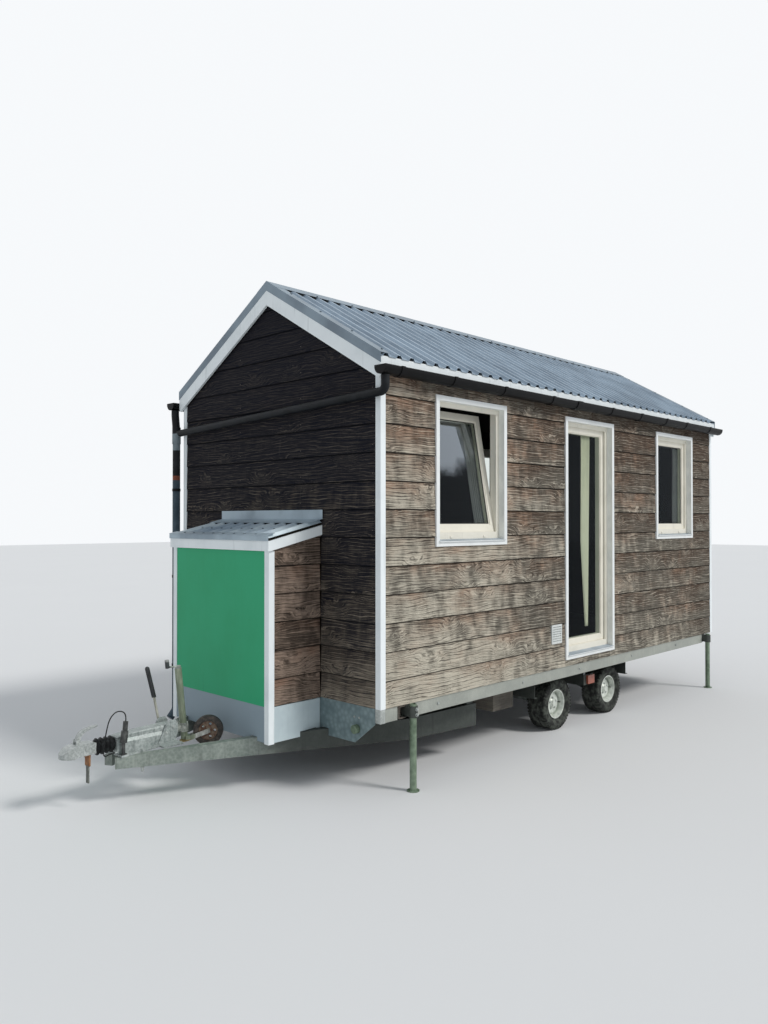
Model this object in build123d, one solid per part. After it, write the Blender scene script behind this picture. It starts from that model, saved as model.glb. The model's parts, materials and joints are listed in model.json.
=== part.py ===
"""Tiny house on a two-axle trailer, with a locker over the drawbar.

X runs along the house with the hitch at -X, the door side faces -Y and Z is up.
The model is built about the hitch gable: x = 0 is the face of its corner boards, y = 0 the
centre line and z = 0 the ground. At the end everything moves along X, so that the origin
lies at ground level under the middle of the overall length. All sizes are millimetres.
"""
import os
from math import atan, cos, degrees, hypot, radians, sin, tan

from build123d import *

# House body
body_length = 5560
body_width = 2500
rail_top = 612
floor_thickness = 100
wall_thickness = 150
board_depth = 24
corner_board_face = 50
seat_gap = 0.3

# Roof
roof_pitch = 30.2
ridge_height = 3836
deck_thickness = 110
eave_overhang = 33
verge_overhang = 31
sheet_thickness = 1.5
rib_pitch = 133
rib_height = 20
rib_top = 30
rib_foot = 62
flashing_thickness = 1.5
ridge_wing = 125
verge_wing = 95
verge_face = 65
barge_depth = 142
barge_thickness = 20
fascia_thickness = 18
fascia_height = 117
gutter_width = 110
gutter_depth = 64
gutter_wall = 3
gutter_front_reach = 90
gutter_rear_reach = 0
pipe_cross_drop = 108.4
downpipe_neck = 190
gutter_drop = 79
pipe_radius = 30
gable_pipe_drop = 105

# Windows and door, from outer trim to outer trim
trim_face = 38
trim_thickness = 8
sill_board = 34
liner_thickness = 10
reveal_depth = 55
frame_face = 46
frame_depth = 68
frame_sill = 66
stop_depth = 18
sash_face = 62
sash_rail = 70
sash_depth = 55
sash_gap = 5
glass_thickness = 24
window_width = 887
window_head_gap = 103.4
window_foot = 1117
front_window_start = 585
rear_window_gap = 531
tilt_angle = 10
door_start = 2370
door_width = 871
door_foot = 58
door_swing = 95
hinge_pin_radius = 4
knuckle_radius = 7.5
pin_clearance = 0.1
curtain_share = 0.2
curtain_depth = 18
door_curtain_edges = ((0.04, 0.66, 0.74), (0.45, 0.52, 0.77), (1, 0.48, 0.80))
vent_start = 2140
vent_width = 160
vent_foot = 835
vent_height = 167

# Trailer chassis
rail_height = 98
rail_flange = 55
rail_wall = 5
rail_inset = 10
rail_start = 365
rail_end_gap = 260
plate_thickness = 6
plate_depth = 269
plate_half_width = 989
plate_wing_half_width = 1190
plate_wing_depth = 110
plate_hole_radius = 32.5
beam_width = 60
arm_bottom = 250
arm_nose_x = -1347
arm_nose_y = 74
arm_nose_height = 73
arm_step_height = 126
arm_bend_x = 590
arm_bend_y = 978
arm_end_x = 1295
arm_end_y = 1070
arm_end_height = 180
cross_width = 40
cross_depth = 270
cross_end_y = 1100
cross_middle = 2945
cross_spacing = 825
marker_offset = 29
marker_width = 118
marker_height = 82
marker_foot = 352
marker_depth = 20
marker_plate = 3
axle_spacing = 943
axle_middle = 2958
axle_tube = 80
stub_radius = 20

# Wheels
tyre_radius = 235
tyre_width = 195
rim_radius = 141
bead_radius = 127
rim_well_radius = 113
rim_width = 152
rim_wall = 4
wheel_inset = 150
disc_recess = 66
disc_thickness = 7
disc_crown_radius = 97
hub_radius = 36

# Corner steadies
steady_radius = 25
steady_wall = 4
steady_front_x = 290
steady_rear_gap = 222
steady_offset = 40
steady_top = 618
steady_lift = 300
steady_foot_radius = 45
steady_foot_thickness = 8
clamp_height = 80
clamp_wall = 9

# Coupling, brake and jockey wheel
head_tip_x = -1700
head_height = 408
head_half_width = 52
ball_radius = 26
tube_radius = 25
bellows_start = -1462
bellows_end = -1330
bellows_radius = 57
bellows_folds = 4
housing_end = -900
housing_half_width = 62
housing_top = 478
cheek_start = -1030
cheek_end = -866
cheek_thickness = 10
cheek_top = 505
coupling_lever_lift = 40
brake_pivot_x = -915
brake_pivot_y = 92
brake_pivot_z = 425
brake_knee = (-963, 651)
brake_tip = (-1018, 862)
brake_swing = 65
jockey_radius = 25
jockey_foot_x = -767
jockey_foot_z = 329
jockey_top_x = -823
jockey_top_z = 853
jockey_wheel_radius = 107
jockey_wheel_width = 54
jockey_wheel_reach = 170
jockey_wheel_z = 393
jockey_wheel_turn = 40
jockey_wheel_holes = 5
jockey_clamp_foot = 64
jockey_clamp_height = 64
jockey_drop = 270
jockey_raise = 25
plug_x = -1296
plug_y = -88
plug_height = 156
cable_radius = 4
cable_gland = (-1340, -54, 356)
prop_x = -1510
prop_top_width = 62
prop_stem_width = 30
prop_shoulder = 298
prop_fork = 214
prop_foot = 180
prop_thickness = 10

# Box hung under the floor ahead of the axles
box_start = 1690
box_length = 290
box_face = 950
box_width = 300
box_bottom = 272
box_wall = 12

# Locker over the drawbar
locker_depth = 483
locker_width = 1247
locker_wall = 40
locker_foot = 346
plinth_top = 606
plinth_thickness = 3
panel_drop = 132
locker_fascia = 72
locker_front_height = 1840
locker_back_height = 1950
locker_cover_drop = 62
locker_side_overhang = 22
locker_front_overhang = 23
apron_height = 54
locker_barge = 93

# Values that follow from the sizes above
half_width = body_width / 2
core_face = half_width - board_depth
inner_face = half_width - wall_thickness
slope = radians(roof_pitch)
flashing_level = seat_gap * 2 + rib_height + sheet_thickness
cap_level = flashing_level + flashing_thickness + seat_gap
deck_ridge = ridge_height - (cap_level + flashing_thickness) / cos(slope)
eave_y = half_width + eave_overhang
slope_length = eave_y / cos(slope)
fascia_face = half_width + 27
gutter_y = fascia_face + gutter_width / 2
opening_head = deck_ridge - core_face * tan(slope) - (deck_thickness + seat_gap) / cos(slope) - window_head_gap
rear_window_start = body_length - rear_window_gap - window_width
steady_rear_x = body_length - steady_rear_gap
panel_top = locker_front_height - panel_drop
floor_top = rail_top + floor_thickness
front_end = head_tip_x
rear_end = body_length + max(gutter_rear_reach, verge_overhang)
middle_x = (front_end + rear_end) / 2
axle_x = (axle_middle - axle_spacing / 2, axle_middle + axle_spacing / 2)
wheel_outer_y = half_width - wheel_inset
wheel_y = wheel_outer_y - tyre_width / 2
steady_y = half_width + steady_offset
arm_slope = (arm_step_height - arm_nose_height) / (-483 - arm_nose_x)
sides = {"door_side": -1, "back_side": 1}


def block(x0, x1, y0, y1, z0, z1):
    """A box between two corners."""
    return Pos((x0 + x1) / 2, (y0 + y1) / 2, (z0 + z1) / 2) * Box(
        abs(x1 - x0), abs(y1 - y0), abs(z1 - z0)
    )


def rod(start, end, radius):
    """A round bar between two points."""
    start, end = Vector(*start), Vector(*end)
    place = Plane(origin=start, z_dir=end - start)
    return extrude(place * Circle(radius), (end - start).length)


def beam(start, end, width, height):
    """A bar of rectangular section whose height stays upright."""
    start, end = Vector(*start), Vector(*end)
    along = (end - start).normalized()
    place = Plane(origin=start, x_dir=Vector(-along.Y, along.X, 0), z_dir=along)
    return extrude(place * Rectangle(width, height), (end - start).length)


def mirrored(shape):
    """The same piece on the back side of the house."""
    return mirror(shape, about=Plane.XZ)


def other_end(shape):
    """The same piece at the rear gable."""
    return Pos(body_length, 0, 0) * mirror(shape, about=Plane.YZ)


def both_sides(shape):
    return Compound([*shape.solids(), *mirrored(shape).solids()])


def group(*shapes):
    """Several solids that share a node."""
    return Compound([s for shape in shapes for s in shape.solids()])


def profile_yz(points, x0, x1):
    """An outline in the YZ plane, drawn out along X."""
    face = make_face(Polyline(*[(x0, y, z) for y, z in points], close=True))
    return extrude(face, x1 - x0, dir=(1, 0, 0))


def profile_xz(points, y0, y1):
    """An outline in the XZ plane, drawn out along Y."""
    face = make_face(Polyline(*[(x, y0, z) for x, z in points], close=True))
    return extrude(face, y1 - y0, dir=(0, 1, 0))


def under_deck(y, gap=seat_gap):
    """Height of the underside of the roof deck over a line at y."""
    return deck_ridge - abs(y) * tan(slope) - (deck_thickness + gap) / cos(slope)


# On a roof slope x runs along the house, y rises to the ridge and z stands off the deck.
def on_door_slope(shape):
    place = Plane(origin=(0, 0, deck_ridge), x_dir=(1, 0, 0), z_dir=(0, -sin(slope), cos(slope)))
    half = block(-body_length, 2 * body_length, -eave_y, 0, 0, 2 * ridge_height)
    return place.location * shape & half


def roof_decks():
    below = deck_thickness
    slab = block(-5, body_length + 5, -slope_length - below, below, -below, 0)
    keep = block(-100, body_length + 100, -(fascia_face - fascia_thickness), -seat_gap, 0, 2 * ridge_height)
    return both_sides(on_door_slope(slab) & keep)


def ribbed_profile(length, first_rib):
    """Outline of a trapezoidal sheet of the given length, seen from its end."""
    count = int((length - first_rib - rib_foot / 2) // rib_pitch) + 1
    flank = (rib_foot - rib_top) / 2
    lower = [(0, 0)]
    for i in range(count):
        middle = first_rib + i * rib_pitch
        lower += [
            (middle - rib_foot / 2, 0),
            (middle - rib_foot / 2 + flank, rib_height),
            (middle + rib_foot / 2 - flank, rib_height),
            (middle + rib_foot / 2, 0),
        ]
    lower.append((length, 0))
    upper = [(x, z + sheet_thickness) for x, z in reversed(lower)]
    return lower + upper


def ribbed_sheet(length, run, first_rib):
    outline = [(x, -run, z) for x, z in ribbed_profile(length, first_rib)]
    return extrude(make_face(Polyline(*outline, close=True)), run, dir=(0, 1, 0))


def roof_sheet():
    first = rib_foot / 2 + 18
    sheet = ribbed_sheet(body_length + 2 * verge_overhang - 8, slope_length - 40, first)
    return on_door_slope(Pos(-verge_overhang + 4, -40, seat_gap) * sheet)


def roof_flashings():
    """Two wings of the ridge cap and a bent flashing down each verge."""
    x0, x1 = -verge_overhang, body_length + verge_overhang
    above = block(x0 - 10, x1 + 10, -eave_y, -seat_gap / 2, 0, 2 * ridge_height)
    wing = block(x0, x1, -ridge_wing, 20, cap_level, cap_level + flashing_thickness)
    cap = on_door_slope(wing) & above
    level = flashing_level
    top = block(x0, x0 + verge_wing, -slope_length - 20, 20, level, level + flashing_thickness)
    face = block(
        x0, x0 + flashing_thickness, -slope_length - 60, 20,
        level + flashing_thickness - verge_face, level + flashing_thickness,
    )
    verge = on_door_slope(top + face) & above
    return group(both_sides(cap), both_sides(verge), other_end(both_sides(verge)))


def locker_x(outward):
    """x of a plane that lies outward of the locker's front corner boards."""
    return -locker_depth - outward


def roof_edge_boards():
    """Barge boards, eave fascias and the white boards round the locker roof."""
    back = -verge_overhang + flashing_thickness + seat_gap
    board = block(back, back + barge_thickness, -slope_length - 60, 60, -barge_depth, -seat_gap)
    keep = block(-100, 0, -fascia_face, -seat_gap, 0, 2 * ridge_height)
    barge = on_door_slope(board) & keep
    barges = both_sides(barge)
    top = deck_ridge - fascia_face * tan(slope) - seat_gap
    fascia = block(
        back + barge_thickness + seat_gap,
        body_length - back - barge_thickness - seat_gap,
        -fascia_face, -fascia_face + fascia_thickness - seat_gap, top - fascia_height, top,
    )
    front_board = block(
        locker_x(18), locker_x(0) - seat_gap,
        -locker_width / 2 - 18, locker_width / 2 + 18,
        panel_top, panel_top + locker_fascia,
    )
    rise = (locker_back_height - locker_front_height) / locker_depth
    low = locker_front_height - 60
    side_board = profile_xz(
        [
            (locker_x(0), low - locker_barge + 21),
            (-1, low - locker_barge + 21 + rise * locker_depth),
            (-1, low + rise * locker_depth),
            (locker_x(0), low),
        ],
        -locker_width / 2 - 18, -locker_width / 2 - seat_gap,
    )
    return group(barges, other_end(barges), both_sides(fascia), front_board, both_sides(side_board))


def corner_post(x, y, foot, top):
    """Two boards nailed into an L round the corner at x, y of the door side."""
    thick = board_depth - seat_gap
    side = block(x, x + corner_board_face, y, y + thick, foot, top)
    return side + block(x, x + thick, y, y + corner_board_face, foot, top)


def corner_boards():
    """White corner boards of the house and of the locker."""
    house = both_sides(corner_post(0, -half_width, rail_top, under_deck(half_width, 2)))
    locker = corner_post(-locker_depth, -locker_width / 2, locker_foot, panel_top - seat_gap)
    return group(house, other_end(house), both_sides(locker))


def opening(start, width, foot):
    """Outer rectangle of a window's or door's white trim: x from, x to, z from, z to."""
    return (start, start + width, rail_top + foot, opening_head)


def inset(rectangle, by, by_foot=None):
    x0, x1, z0, z1 = rectangle
    return (x0 + by, x1 - by, z0 + (by if by_foot is None else by_foot), z1 - by)


front_window = opening(front_window_start, window_width, window_foot)
rear_window = opening(rear_window_start, window_width, window_foot)
doorway = opening(door_start, door_width, door_foot)
liner_outer = trim_face - liner_thickness


def plate(rectangle, y0, y1):
    x0, x1, z0, z1 = rectangle
    return block(x0, x1, y0, y1, z0, z1)


def ring(outer, inner, y0, y1):
    return plate(outer, y0, y1) - plate(inner, y0 - 1, y1 + 1)


def wall_hole(rectangle):
    return plate(inset(rectangle, liner_outer - seat_gap), -half_width - 50, -inner_face + 50)


def side_wall(x0, x1, z0, *holes):
    outline = [
        (-core_face, z0),
        (-inner_face, z0),
        (-inner_face, under_deck(inner_face)),
        (-core_face, under_deck(core_face)),
    ]
    wall = profile_yz(outline, x0, x1)
    for hole in holes:
        wall -= wall_hole(hole)
    return wall


def gable_wall():
    outline = [
        (-core_face, rail_top),
        (core_face, rail_top),
        (core_face, under_deck(core_face)),
        (0, under_deck(0)),
        (-core_face, under_deck(core_face)),
    ]
    return profile_yz(outline, board_depth, wall_thickness)


def casing(rectangle):
    """White trim, grey lining of the reveal and the sloping sill over its board."""
    face = -half_width - trim_thickness
    x0, x1, z0, z1 = rectangle
    board = (x0, x1, z0, z1)
    hole = (x0 + trim_face, x1 - trim_face, z0 + sill_board, z1 - trim_face)
    trim = ring(board, hole, face, -core_face - seat_gap)
    back = face + reveal_depth
    outer = inset(rectangle, liner_outer)
    inner = inset(rectangle, trim_face)
    liner = ring(outer, inner, face, back)
    foot = z0 + trim_face
    sill = profile_yz(
        [(face - 14, foot - 4), (face - 14, foot + 1), (back, foot + 14), (back, foot - 4)],
        x0 + liner_outer, x1 - liner_outer,
    )
    return trim + liner + sill


def outer_frame(rectangle):
    """Fixed timber frame with the stop that the sash or leaf closes against."""
    outer_y = -half_width - trim_thickness + reveal_depth + seat_gap
    outline = inset(rectangle, liner_outer)
    stop = inset(rectangle, trim_face + frame_face - sash_gap * 2, frame_sill + trim_face)
    rebate = inset(rectangle, trim_face + frame_face - sash_gap * 4, frame_sill + trim_face - 14)
    return ring(outline, stop, outer_y, outer_y + stop_depth) + ring(
        outline, rebate, outer_y + stop_depth, outer_y + frame_depth
    )


def sash_outline(rectangle, gap):
    return inset(
        rectangle, trim_face + frame_face - sash_gap * 4 + gap, frame_sill + trim_face - 14 + gap
    )


def sash_front(gap):
    return -half_width - trim_thickness + reveal_depth + seat_gap + stop_depth + gap


def sash(rectangle, gap):
    """Glazed timber sash: four rails round the pane."""
    outline = sash_outline(rectangle, gap)
    x0, x1, z0, z1 = outline
    pane = (x0 + sash_face, x1 - sash_face, z0 + sash_rail, z1 - sash_face)
    front = sash_front(gap)
    chamfered = ring(outline, pane, front, front + sash_depth)
    groove = ring(
        inset(pane, -10), inset(pane, 2), front - 1, front + 6
    )
    return chamfered - groove


def pane(rectangle, gap):
    x0, x1, z0, z1 = sash_outline(rectangle, gap)
    front = sash_front(gap) + (sash_depth - glass_thickness) / 2
    hole = (x0 + sash_face + seat_gap, x1 - sash_face - seat_gap)
    return plate((*hole, z0 + sash_rail + seat_gap, z1 - sash_face - seat_gap), front, front + glass_thickness)


def tilted(shape, rectangle):
    """A sash that leans in at the top about its foot."""
    _, _, z0, _ = sash_outline(rectangle, seat_gap)
    foot = Axis((0, sash_front(seat_gap) + sash_depth, z0), (1, 0, 0))
    return shape.rotate(foot, -tilt_angle)


def sash_curtain(rectangle, gap, share):
    """A narrow curtain gathered at the rear stile of a sash, behind the pane."""
    x0, x1, z0, z1 = sash_outline(rectangle, gap)
    x0, x1 = x0 + sash_face, x1 - sash_face
    front = sash_front(gap) + (sash_depth + glass_thickness) / 2 + seat_gap
    return block(x1 - (x1 - x0) * share, x1 - seat_gap, front, front + curtain_depth,
                 z0 + sash_rail + seat_gap, z1 - sash_face - seat_gap)


def door_curtain():
    """The door's curtain: it hangs at the middle of the pane and is caught in towards its foot."""
    x0, x1, z0, z1 = sash_outline(doorway, sash_gap)
    x0, x1 = x0 + sash_face, x1 - sash_face
    z0, z1 = z0 + sash_rail + seat_gap, z1 - sash_face - seat_gap
    front = sash_front(sash_gap) + (sash_depth + glass_thickness) / 2 + seat_gap
    left, right = [], []
    for level, start, end in door_curtain_edges:
        z = z0 + level * (z1 - z0)
        left.append((x0 + start * (x1 - x0), z))
        right.append((x0 + end * (x1 - x0), z))
    return profile_xz(left + right[::-1], front, front + curtain_depth)


# Door leaf and its hinge line on the inner face at the rear jamb
leaf_outline = sash_outline(doorway, sash_gap)
leaf_front = sash_front(sash_gap)
hinge_x = leaf_outline[1] + 1
hinge_y = leaf_front + sash_depth + knuckle_radius + 0.5


def hinge_heights():
    low, high = leaf_outline[2], leaf_outline[3]
    return (low + 180, (low + high) / 2, high - 180)


def door_leaf():
    """Glazed leaf with the middle knuckle of each of its three hinges."""
    leaf = sash(doorway, sash_gap)
    face = leaf_front + sash_depth
    for z in hinge_heights():
        knuckle = rod((hinge_x, hinge_y, z - 15), (hinge_x, hinge_y, z + 15), knuckle_radius)
        strap = block(hinge_x - 40, hinge_x, face - 1, face + 4, z - 15, z + 15)
        bore = rod((hinge_x, hinge_y, z - 20), (hinge_x, hinge_y, z + 20), hinge_pin_radius + pin_clearance)
        leaf += knuckle + strap - bore
    return leaf


def door_frame():
    """Fixed frame of the door with the outer knuckles and the pins of the hinges."""
    frame = outer_frame(doorway)
    face = sash_front(0) - stop_depth + frame_depth
    for z in hinge_heights():
        for low, high in ((z - 45, z - 15.5), (z + 15.5, z + 45)):
            frame += rod((hinge_x, hinge_y, low), (hinge_x, hinge_y, high), knuckle_radius)
            frame += block(hinge_x, hinge_x + 34, face - 1, hinge_y + 2, low, high)
        frame += rod((hinge_x, hinge_y, z - 45), (hinge_x, hinge_y, z + 45), hinge_pin_radius)
    return frame


def side_rail():
    y = -half_width + rail_inset
    x1 = body_length - rail_end_gap
    web = block(rail_start, x1, y, y + rail_wall, rail_top - rail_height, rail_top)
    top = block(rail_start, x1, y, y + rail_flange, rail_top - rail_wall, rail_top)
    foot = block(rail_start, x1, y, y + rail_flange, rail_top - rail_height, rail_top - rail_height + rail_wall)
    return web + top + foot


def clamp(x, y):
    """Split ring that grips a steady leg, with its plate to the outrigger."""
    top = rail_top - 8
    outer = steady_radius + clamp_wall
    body = rod((x, y, top - clamp_height), (x, y, top), outer)
    inward = 1 if y < 0 else -1
    body += block(x - 30, x + 30, y, y + inward * (steady_offset + 8), top - clamp_height + 5, top - 5)
    bore = rod((x, y, top - clamp_height - 5), (x, y, top + 5), steady_radius + seat_gap)
    return body - bore


def cross_members():
    """Cross beams under the floor and the outriggers that carry the steadies."""
    solids = []
    for x in (cross_middle - cross_spacing, cross_middle, cross_middle + cross_spacing):
        x0, x1 = x - cross_width / 2, x + cross_width / 2
        beam_body = block(x0, x1, -cross_end_y, cross_end_y, rail_top - cross_depth, rail_top)
        hollow = block(x0 + 5, x1 + 1, -cross_end_y - 1, cross_end_y + 1, rail_top - cross_depth + 5, rail_top - 5)
        solid = beam_body - hollow
        if x == cross_middle:
            reach = cross_middle + marker_offset + marker_width + 6
            plate_low = marker_foot - 6
            for y in (-cross_end_y - marker_plate, cross_end_y):
                solid += block(x0, reach, y, y + marker_plate, plate_low, marker_foot + marker_height + 6)
        solids.append(solid)
    for x in (steady_front_x, steady_rear_x):
        y = steady_y - steady_offset - 5
        bar = block(x - 30, x + 30, -y, y, rail_top - 88, rail_top)
        solids.append(bar + clamp(x, -steady_y) + clamp(x, steady_y))
    return group(*solids)


def end_plate():
    """Steel cross plate under the hitch gable, with a top flange, bevelled ends and two round holes."""
    low, wing = rail_top - plate_depth, rail_top - plate_wing_depth
    inner, outer = plate_half_width, plate_wing_half_width
    outline = [(-outer, rail_top), (-outer, wing), (-inner, low), (inner, low), (outer, wing), (outer, rail_top)]
    steel = profile_yz(outline, 4, 4 + plate_thickness)
    steel += block(4, 64, -outer, outer, rail_top - plate_thickness, rail_top)
    for y in (-inner - 21, inner + 21):
        steel -= rod((-5, y, rail_top - 168), (20, y, rail_top - 168), plate_hole_radius)
    return steel


def arm_plan(extra=0):
    """Plan of the door side drawbar arm: its outer face bends once, near the side rail."""
    nose, bend, end = [Vector(x, -y) for x, y in (
        (arm_nose_x, arm_nose_y), (arm_bend_x, arm_bend_y), (arm_end_x, arm_end_y))]
    solid = None
    for a, b in ((nose, bend), (bend, end)):
        along = (b - a).normalized()
        inward = Vector(-along.Y, along.X)
        a, b = a - along * (extra + 1), b + along * (extra + 1)
        outer, inner = inward * -extra, inward * (beam_width + extra)
        corners = [a + outer, b + outer, b + inner, a + inner]
        run = extrude(make_face(Polyline(*[(c.X, c.Y, 0) for c in corners], close=True)), rail_top)
        solid = run if solid is None else solid + run
    return solid


def arm_height(x):
    """Height of the drawbar arm over its level underside."""
    if x < -locker_depth:
        return arm_nose_height + arm_slope * (x - arm_nose_x)
    share = (x + locker_depth) / (arm_end_x + locker_depth)
    return arm_step_height + share * (arm_end_height - arm_step_height)


def arm_side(extra=0):
    """Side view of an arm: level below, rising in two straight runs above."""
    xs = [arm_nose_x - 100, -locker_depth, arm_end_x + 100]
    top = [(x, arm_bottom + arm_height(x) + extra) for x in reversed(xs)]
    return profile_xz([(xs[0], arm_bottom - extra), (xs[-1], arm_bottom - extra), *top], -half_width, 0)


def arm_solid(extra=0):
    return arm_plan(extra) & arm_side(extra)


def arm_hangers():
    """Posts that carry the floor frame on the straight ends of the arms."""
    posts = []
    for x in (arm_bend_x + 90, arm_end_x - 60):
        outer = arm_bend_y + (x - arm_bend_x) * (arm_end_y - arm_bend_y) / (arm_end_x - arm_bend_x)
        foot = arm_bottom + arm_height(x + 40) + seat_gap
        posts.append(block(x - 40, x + 40, -outer + 8, -outer + beam_width - 8, foot, rail_top))
    return group(*posts)


def axles():
    """Torsion axles: a square tube, a trailing arm and stub at each end, and hangers to the floor."""
    solids = []
    for x in axle_x:
        tube_x, tube_z = x - 140, tyre_radius + 70
        end_y = wheel_y - tyre_width / 2 - 25
        axle = block(tube_x - axle_tube / 2, tube_x + axle_tube / 2, -end_y, end_y,
                     tube_z - axle_tube / 2, tube_z + axle_tube / 2)
        for side in (-1, 1):
            y = side * (end_y - 22)
            arm = profile_xz(
                [(tube_x - 45, tube_z - 40), (x - 25, tyre_radius - 35), (x + 35, tyre_radius - 35),
                 (x + 35, tyre_radius + 30), (tube_x + 40, tube_z + 45), (tube_x - 45, tube_z + 45)],
                min(y - 22, y + 22), max(y - 22, y + 22),
            )
            inner = y
            outer = side * (wheel_outer_y - disc_recess + 11)
            axle += arm + rod((x, inner, tyre_radius), (x, outer, tyre_radius), stub_radius)
            hang_y = side * (end_y - 190)
            axle += block(tube_x - 60, tube_x + 60, hang_y - 30, hang_y + 30, tube_z, rail_top)
        solids.append(axle)
    return group(*solids)


def revolved(outline, axis=Axis.Y):
    """A solid of revolution round Y from (distance along Y, radius) points."""
    return revolve(make_face(Polyline(*[(0, y, r) for y, r in outline], close=True)), axis)


def tyre():
    """Tyre with its hollow section, standing on the bead seats of the rim."""
    half = tyre_width / 2
    bead = rim_width / 2 - rim_wall - seat_gap
    outer = [
        (-bead, bead_radius + seat_gap), (-bead, rim_radius + 2), (-half, rim_radius + 44),
        (-half + 16, tyre_radius - 8), (-half + 50, tyre_radius),
    ]
    inner = [(-bead + 18, bead_radius + seat_gap), (-half + 28, tyre_radius - 16)]
    outline = outer + [(-y, r) for y, r in reversed(outer)] + inner_loop(inner)
    return revolved(outline)


def inner_loop(half_outline):
    """The hollow of a tyre, followed back from one bead to the other."""
    return [(-y, r) for y, r in half_outline] + list(reversed(half_outline))


def rim():
    """Steel rim in one section: flanges, bead seats, drop centre, dished disc and hub."""
    half = rim_width / 2
    wall = rim_wall
    well = rim_well_radius - wall
    front = -tyre_width / 2 + disc_recess
    back = front + disc_thickness
    bore = stub_radius + seat_gap
    outer = [
        (-half, rim_radius), (-half + wall, bead_radius), (-half + 26, bead_radius),
        (-half + 36, rim_well_radius), (half - 36, rim_well_radius), (half - 26, bead_radius),
        (half - wall, bead_radius), (half, rim_radius), (half, bead_radius - wall), (half - 36, well),
    ]
    disc_back = [(back + 20, well), (back, disc_crown_radius - 10), (back, bore)]
    disc_front = [
        (front - 12, bore), (front - 12, hub_radius), (front, hub_radius + 12),
        (front, disc_crown_radius - 8), (front + 20, well),
    ]
    lip = [(-half + 36, well), (-half, bead_radius - wall)]
    wheel = revolved(outer + disc_back + disc_front + lip)
    cap = rod((0, front - 20, 0), (0, front - 12, 0), stub_radius + 6)
    return wheel + cap


def placed_wheel(shape, x, side):
    """A wheel drawn with its face to -Y, set on its stub."""
    turned = shape if side < 0 else shape.rotate(Axis.Z, 180)
    return Pos(x, side * wheel_y, tyre_radius) * turned


def steady_leg(x, y):
    tube = rod((x, y, 0), (x, y, steady_top), steady_radius)
    tube -= rod((x, y, 60), (x, y, steady_top + 1), steady_radius - steady_wall)
    return tube + rod((x, y, 0), (x, y, steady_foot_thickness), steady_foot_radius)


def on_arms(x):
    """Height of a piece that lies on the drawbar arms near their nose."""
    return arm_bottom + arm_height(x) + seat_gap


def overrun_housing():
    """Cast housing of the overrun brake, bolted down on the nose of the drawbar."""
    half = housing_half_width
    start, end = bellows_end + 4, housing_end
    step = start + 0.42 * (end - start)
    side_view = [
        (start, head_height - 44), (start, head_height + 46), (start + 55, housing_top - 18),
        (step, housing_top - 8), (end, housing_top), (end, on_arms(end)), (start + 26, on_arms(start + 26)),
    ]
    section = [
        (-half, arm_bottom - 50), (half, arm_bottom - 50), (half, head_height + 8), (half - 12, head_height + 30),
        (half - 12, housing_top - 16), (half - 30, housing_top + 30), (-half + 30, housing_top + 30),
        (-half + 12, housing_top - 16), (-half + 12, head_height + 30), (-half, head_height + 8),
    ]
    body = profile_xz(side_view, -half, half) & profile_yz(section, start - 5, end + 5)
    shelf_x = (start + 12, cheek_end - 30)
    shelf = profile_xz(
        [(shelf_x[0], on_arms(shelf_x[0])), (shelf_x[1], on_arms(shelf_x[1])),
         (shelf_x[1], on_arms(shelf_x[1]) + 14), (shelf_x[0], on_arms(shelf_x[0]) + 14)],
        -half - 40, half + 40,
    )
    low = on_arms(cheek_end)
    cheek = profile_xz(
        [(cheek_start, on_arms(cheek_start)), (cheek_start + 76, cheek_top - 14), (cheek_start + 96, cheek_top),
         (cheek_end - 22, cheek_top), (cheek_end - 4, cheek_top - 26), (cheek_end, low + 60), (cheek_end - 22, low)],
        -half - cheek_thickness, -half,
    )
    foot = profile_xz(
        [(cheek_start, on_arms(cheek_start)), (cheek_end - 22, low), (cheek_end - 22, low + 12),
         (cheek_start, on_arms(cheek_start) + 12)],
        -half - 120, half + 120,
    )
    wide = extrude(make_face(Polyline(
        (cheek_start, -half - 92, 0), (cheek_end, -half - 120, 0), (cheek_end, half + 120, 0),
        (cheek_start, half + 92, 0), close=True)), rail_top)
    pivot = rod((brake_pivot_x, half, brake_pivot_z), (brake_pivot_x, brake_pivot_y + 14, brake_pivot_z), 9)
    draw_tube = rod((bellows_start - tube_radius, 0, head_height), (start + 10, 0, head_height), tube_radius)
    x, y, z = cable_gland
    gland = rod((x, y, z), (start + 14, y, z), cable_radius + 3.5)
    return body + shelf + cheek + mirrored(cheek) + (foot & wide) + pivot + draw_tube + gland


def coupling_bellows():
    """Rubber bellows over the draw tube, folded in rings."""
    step = (bellows_end - bellows_start) / bellows_folds
    bore = tube_radius + seat_gap
    outline = [(bellows_start, bore)]
    for i in range(bellows_folds):
        x = bellows_start + i * step
        outline += [(x, bellows_radius - 14), (x + step / 2, bellows_radius)]
    outline += [(bellows_end, bellows_radius - 14), (bellows_end, bore)]
    face = make_face(Polyline(*[(x, 0, r) for x, r in outline], close=True))
    return Pos(0, 0, head_height) * revolve(face, Axis.X)


lever_pivot = (head_tip_x + 118, head_height + 62)


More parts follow.
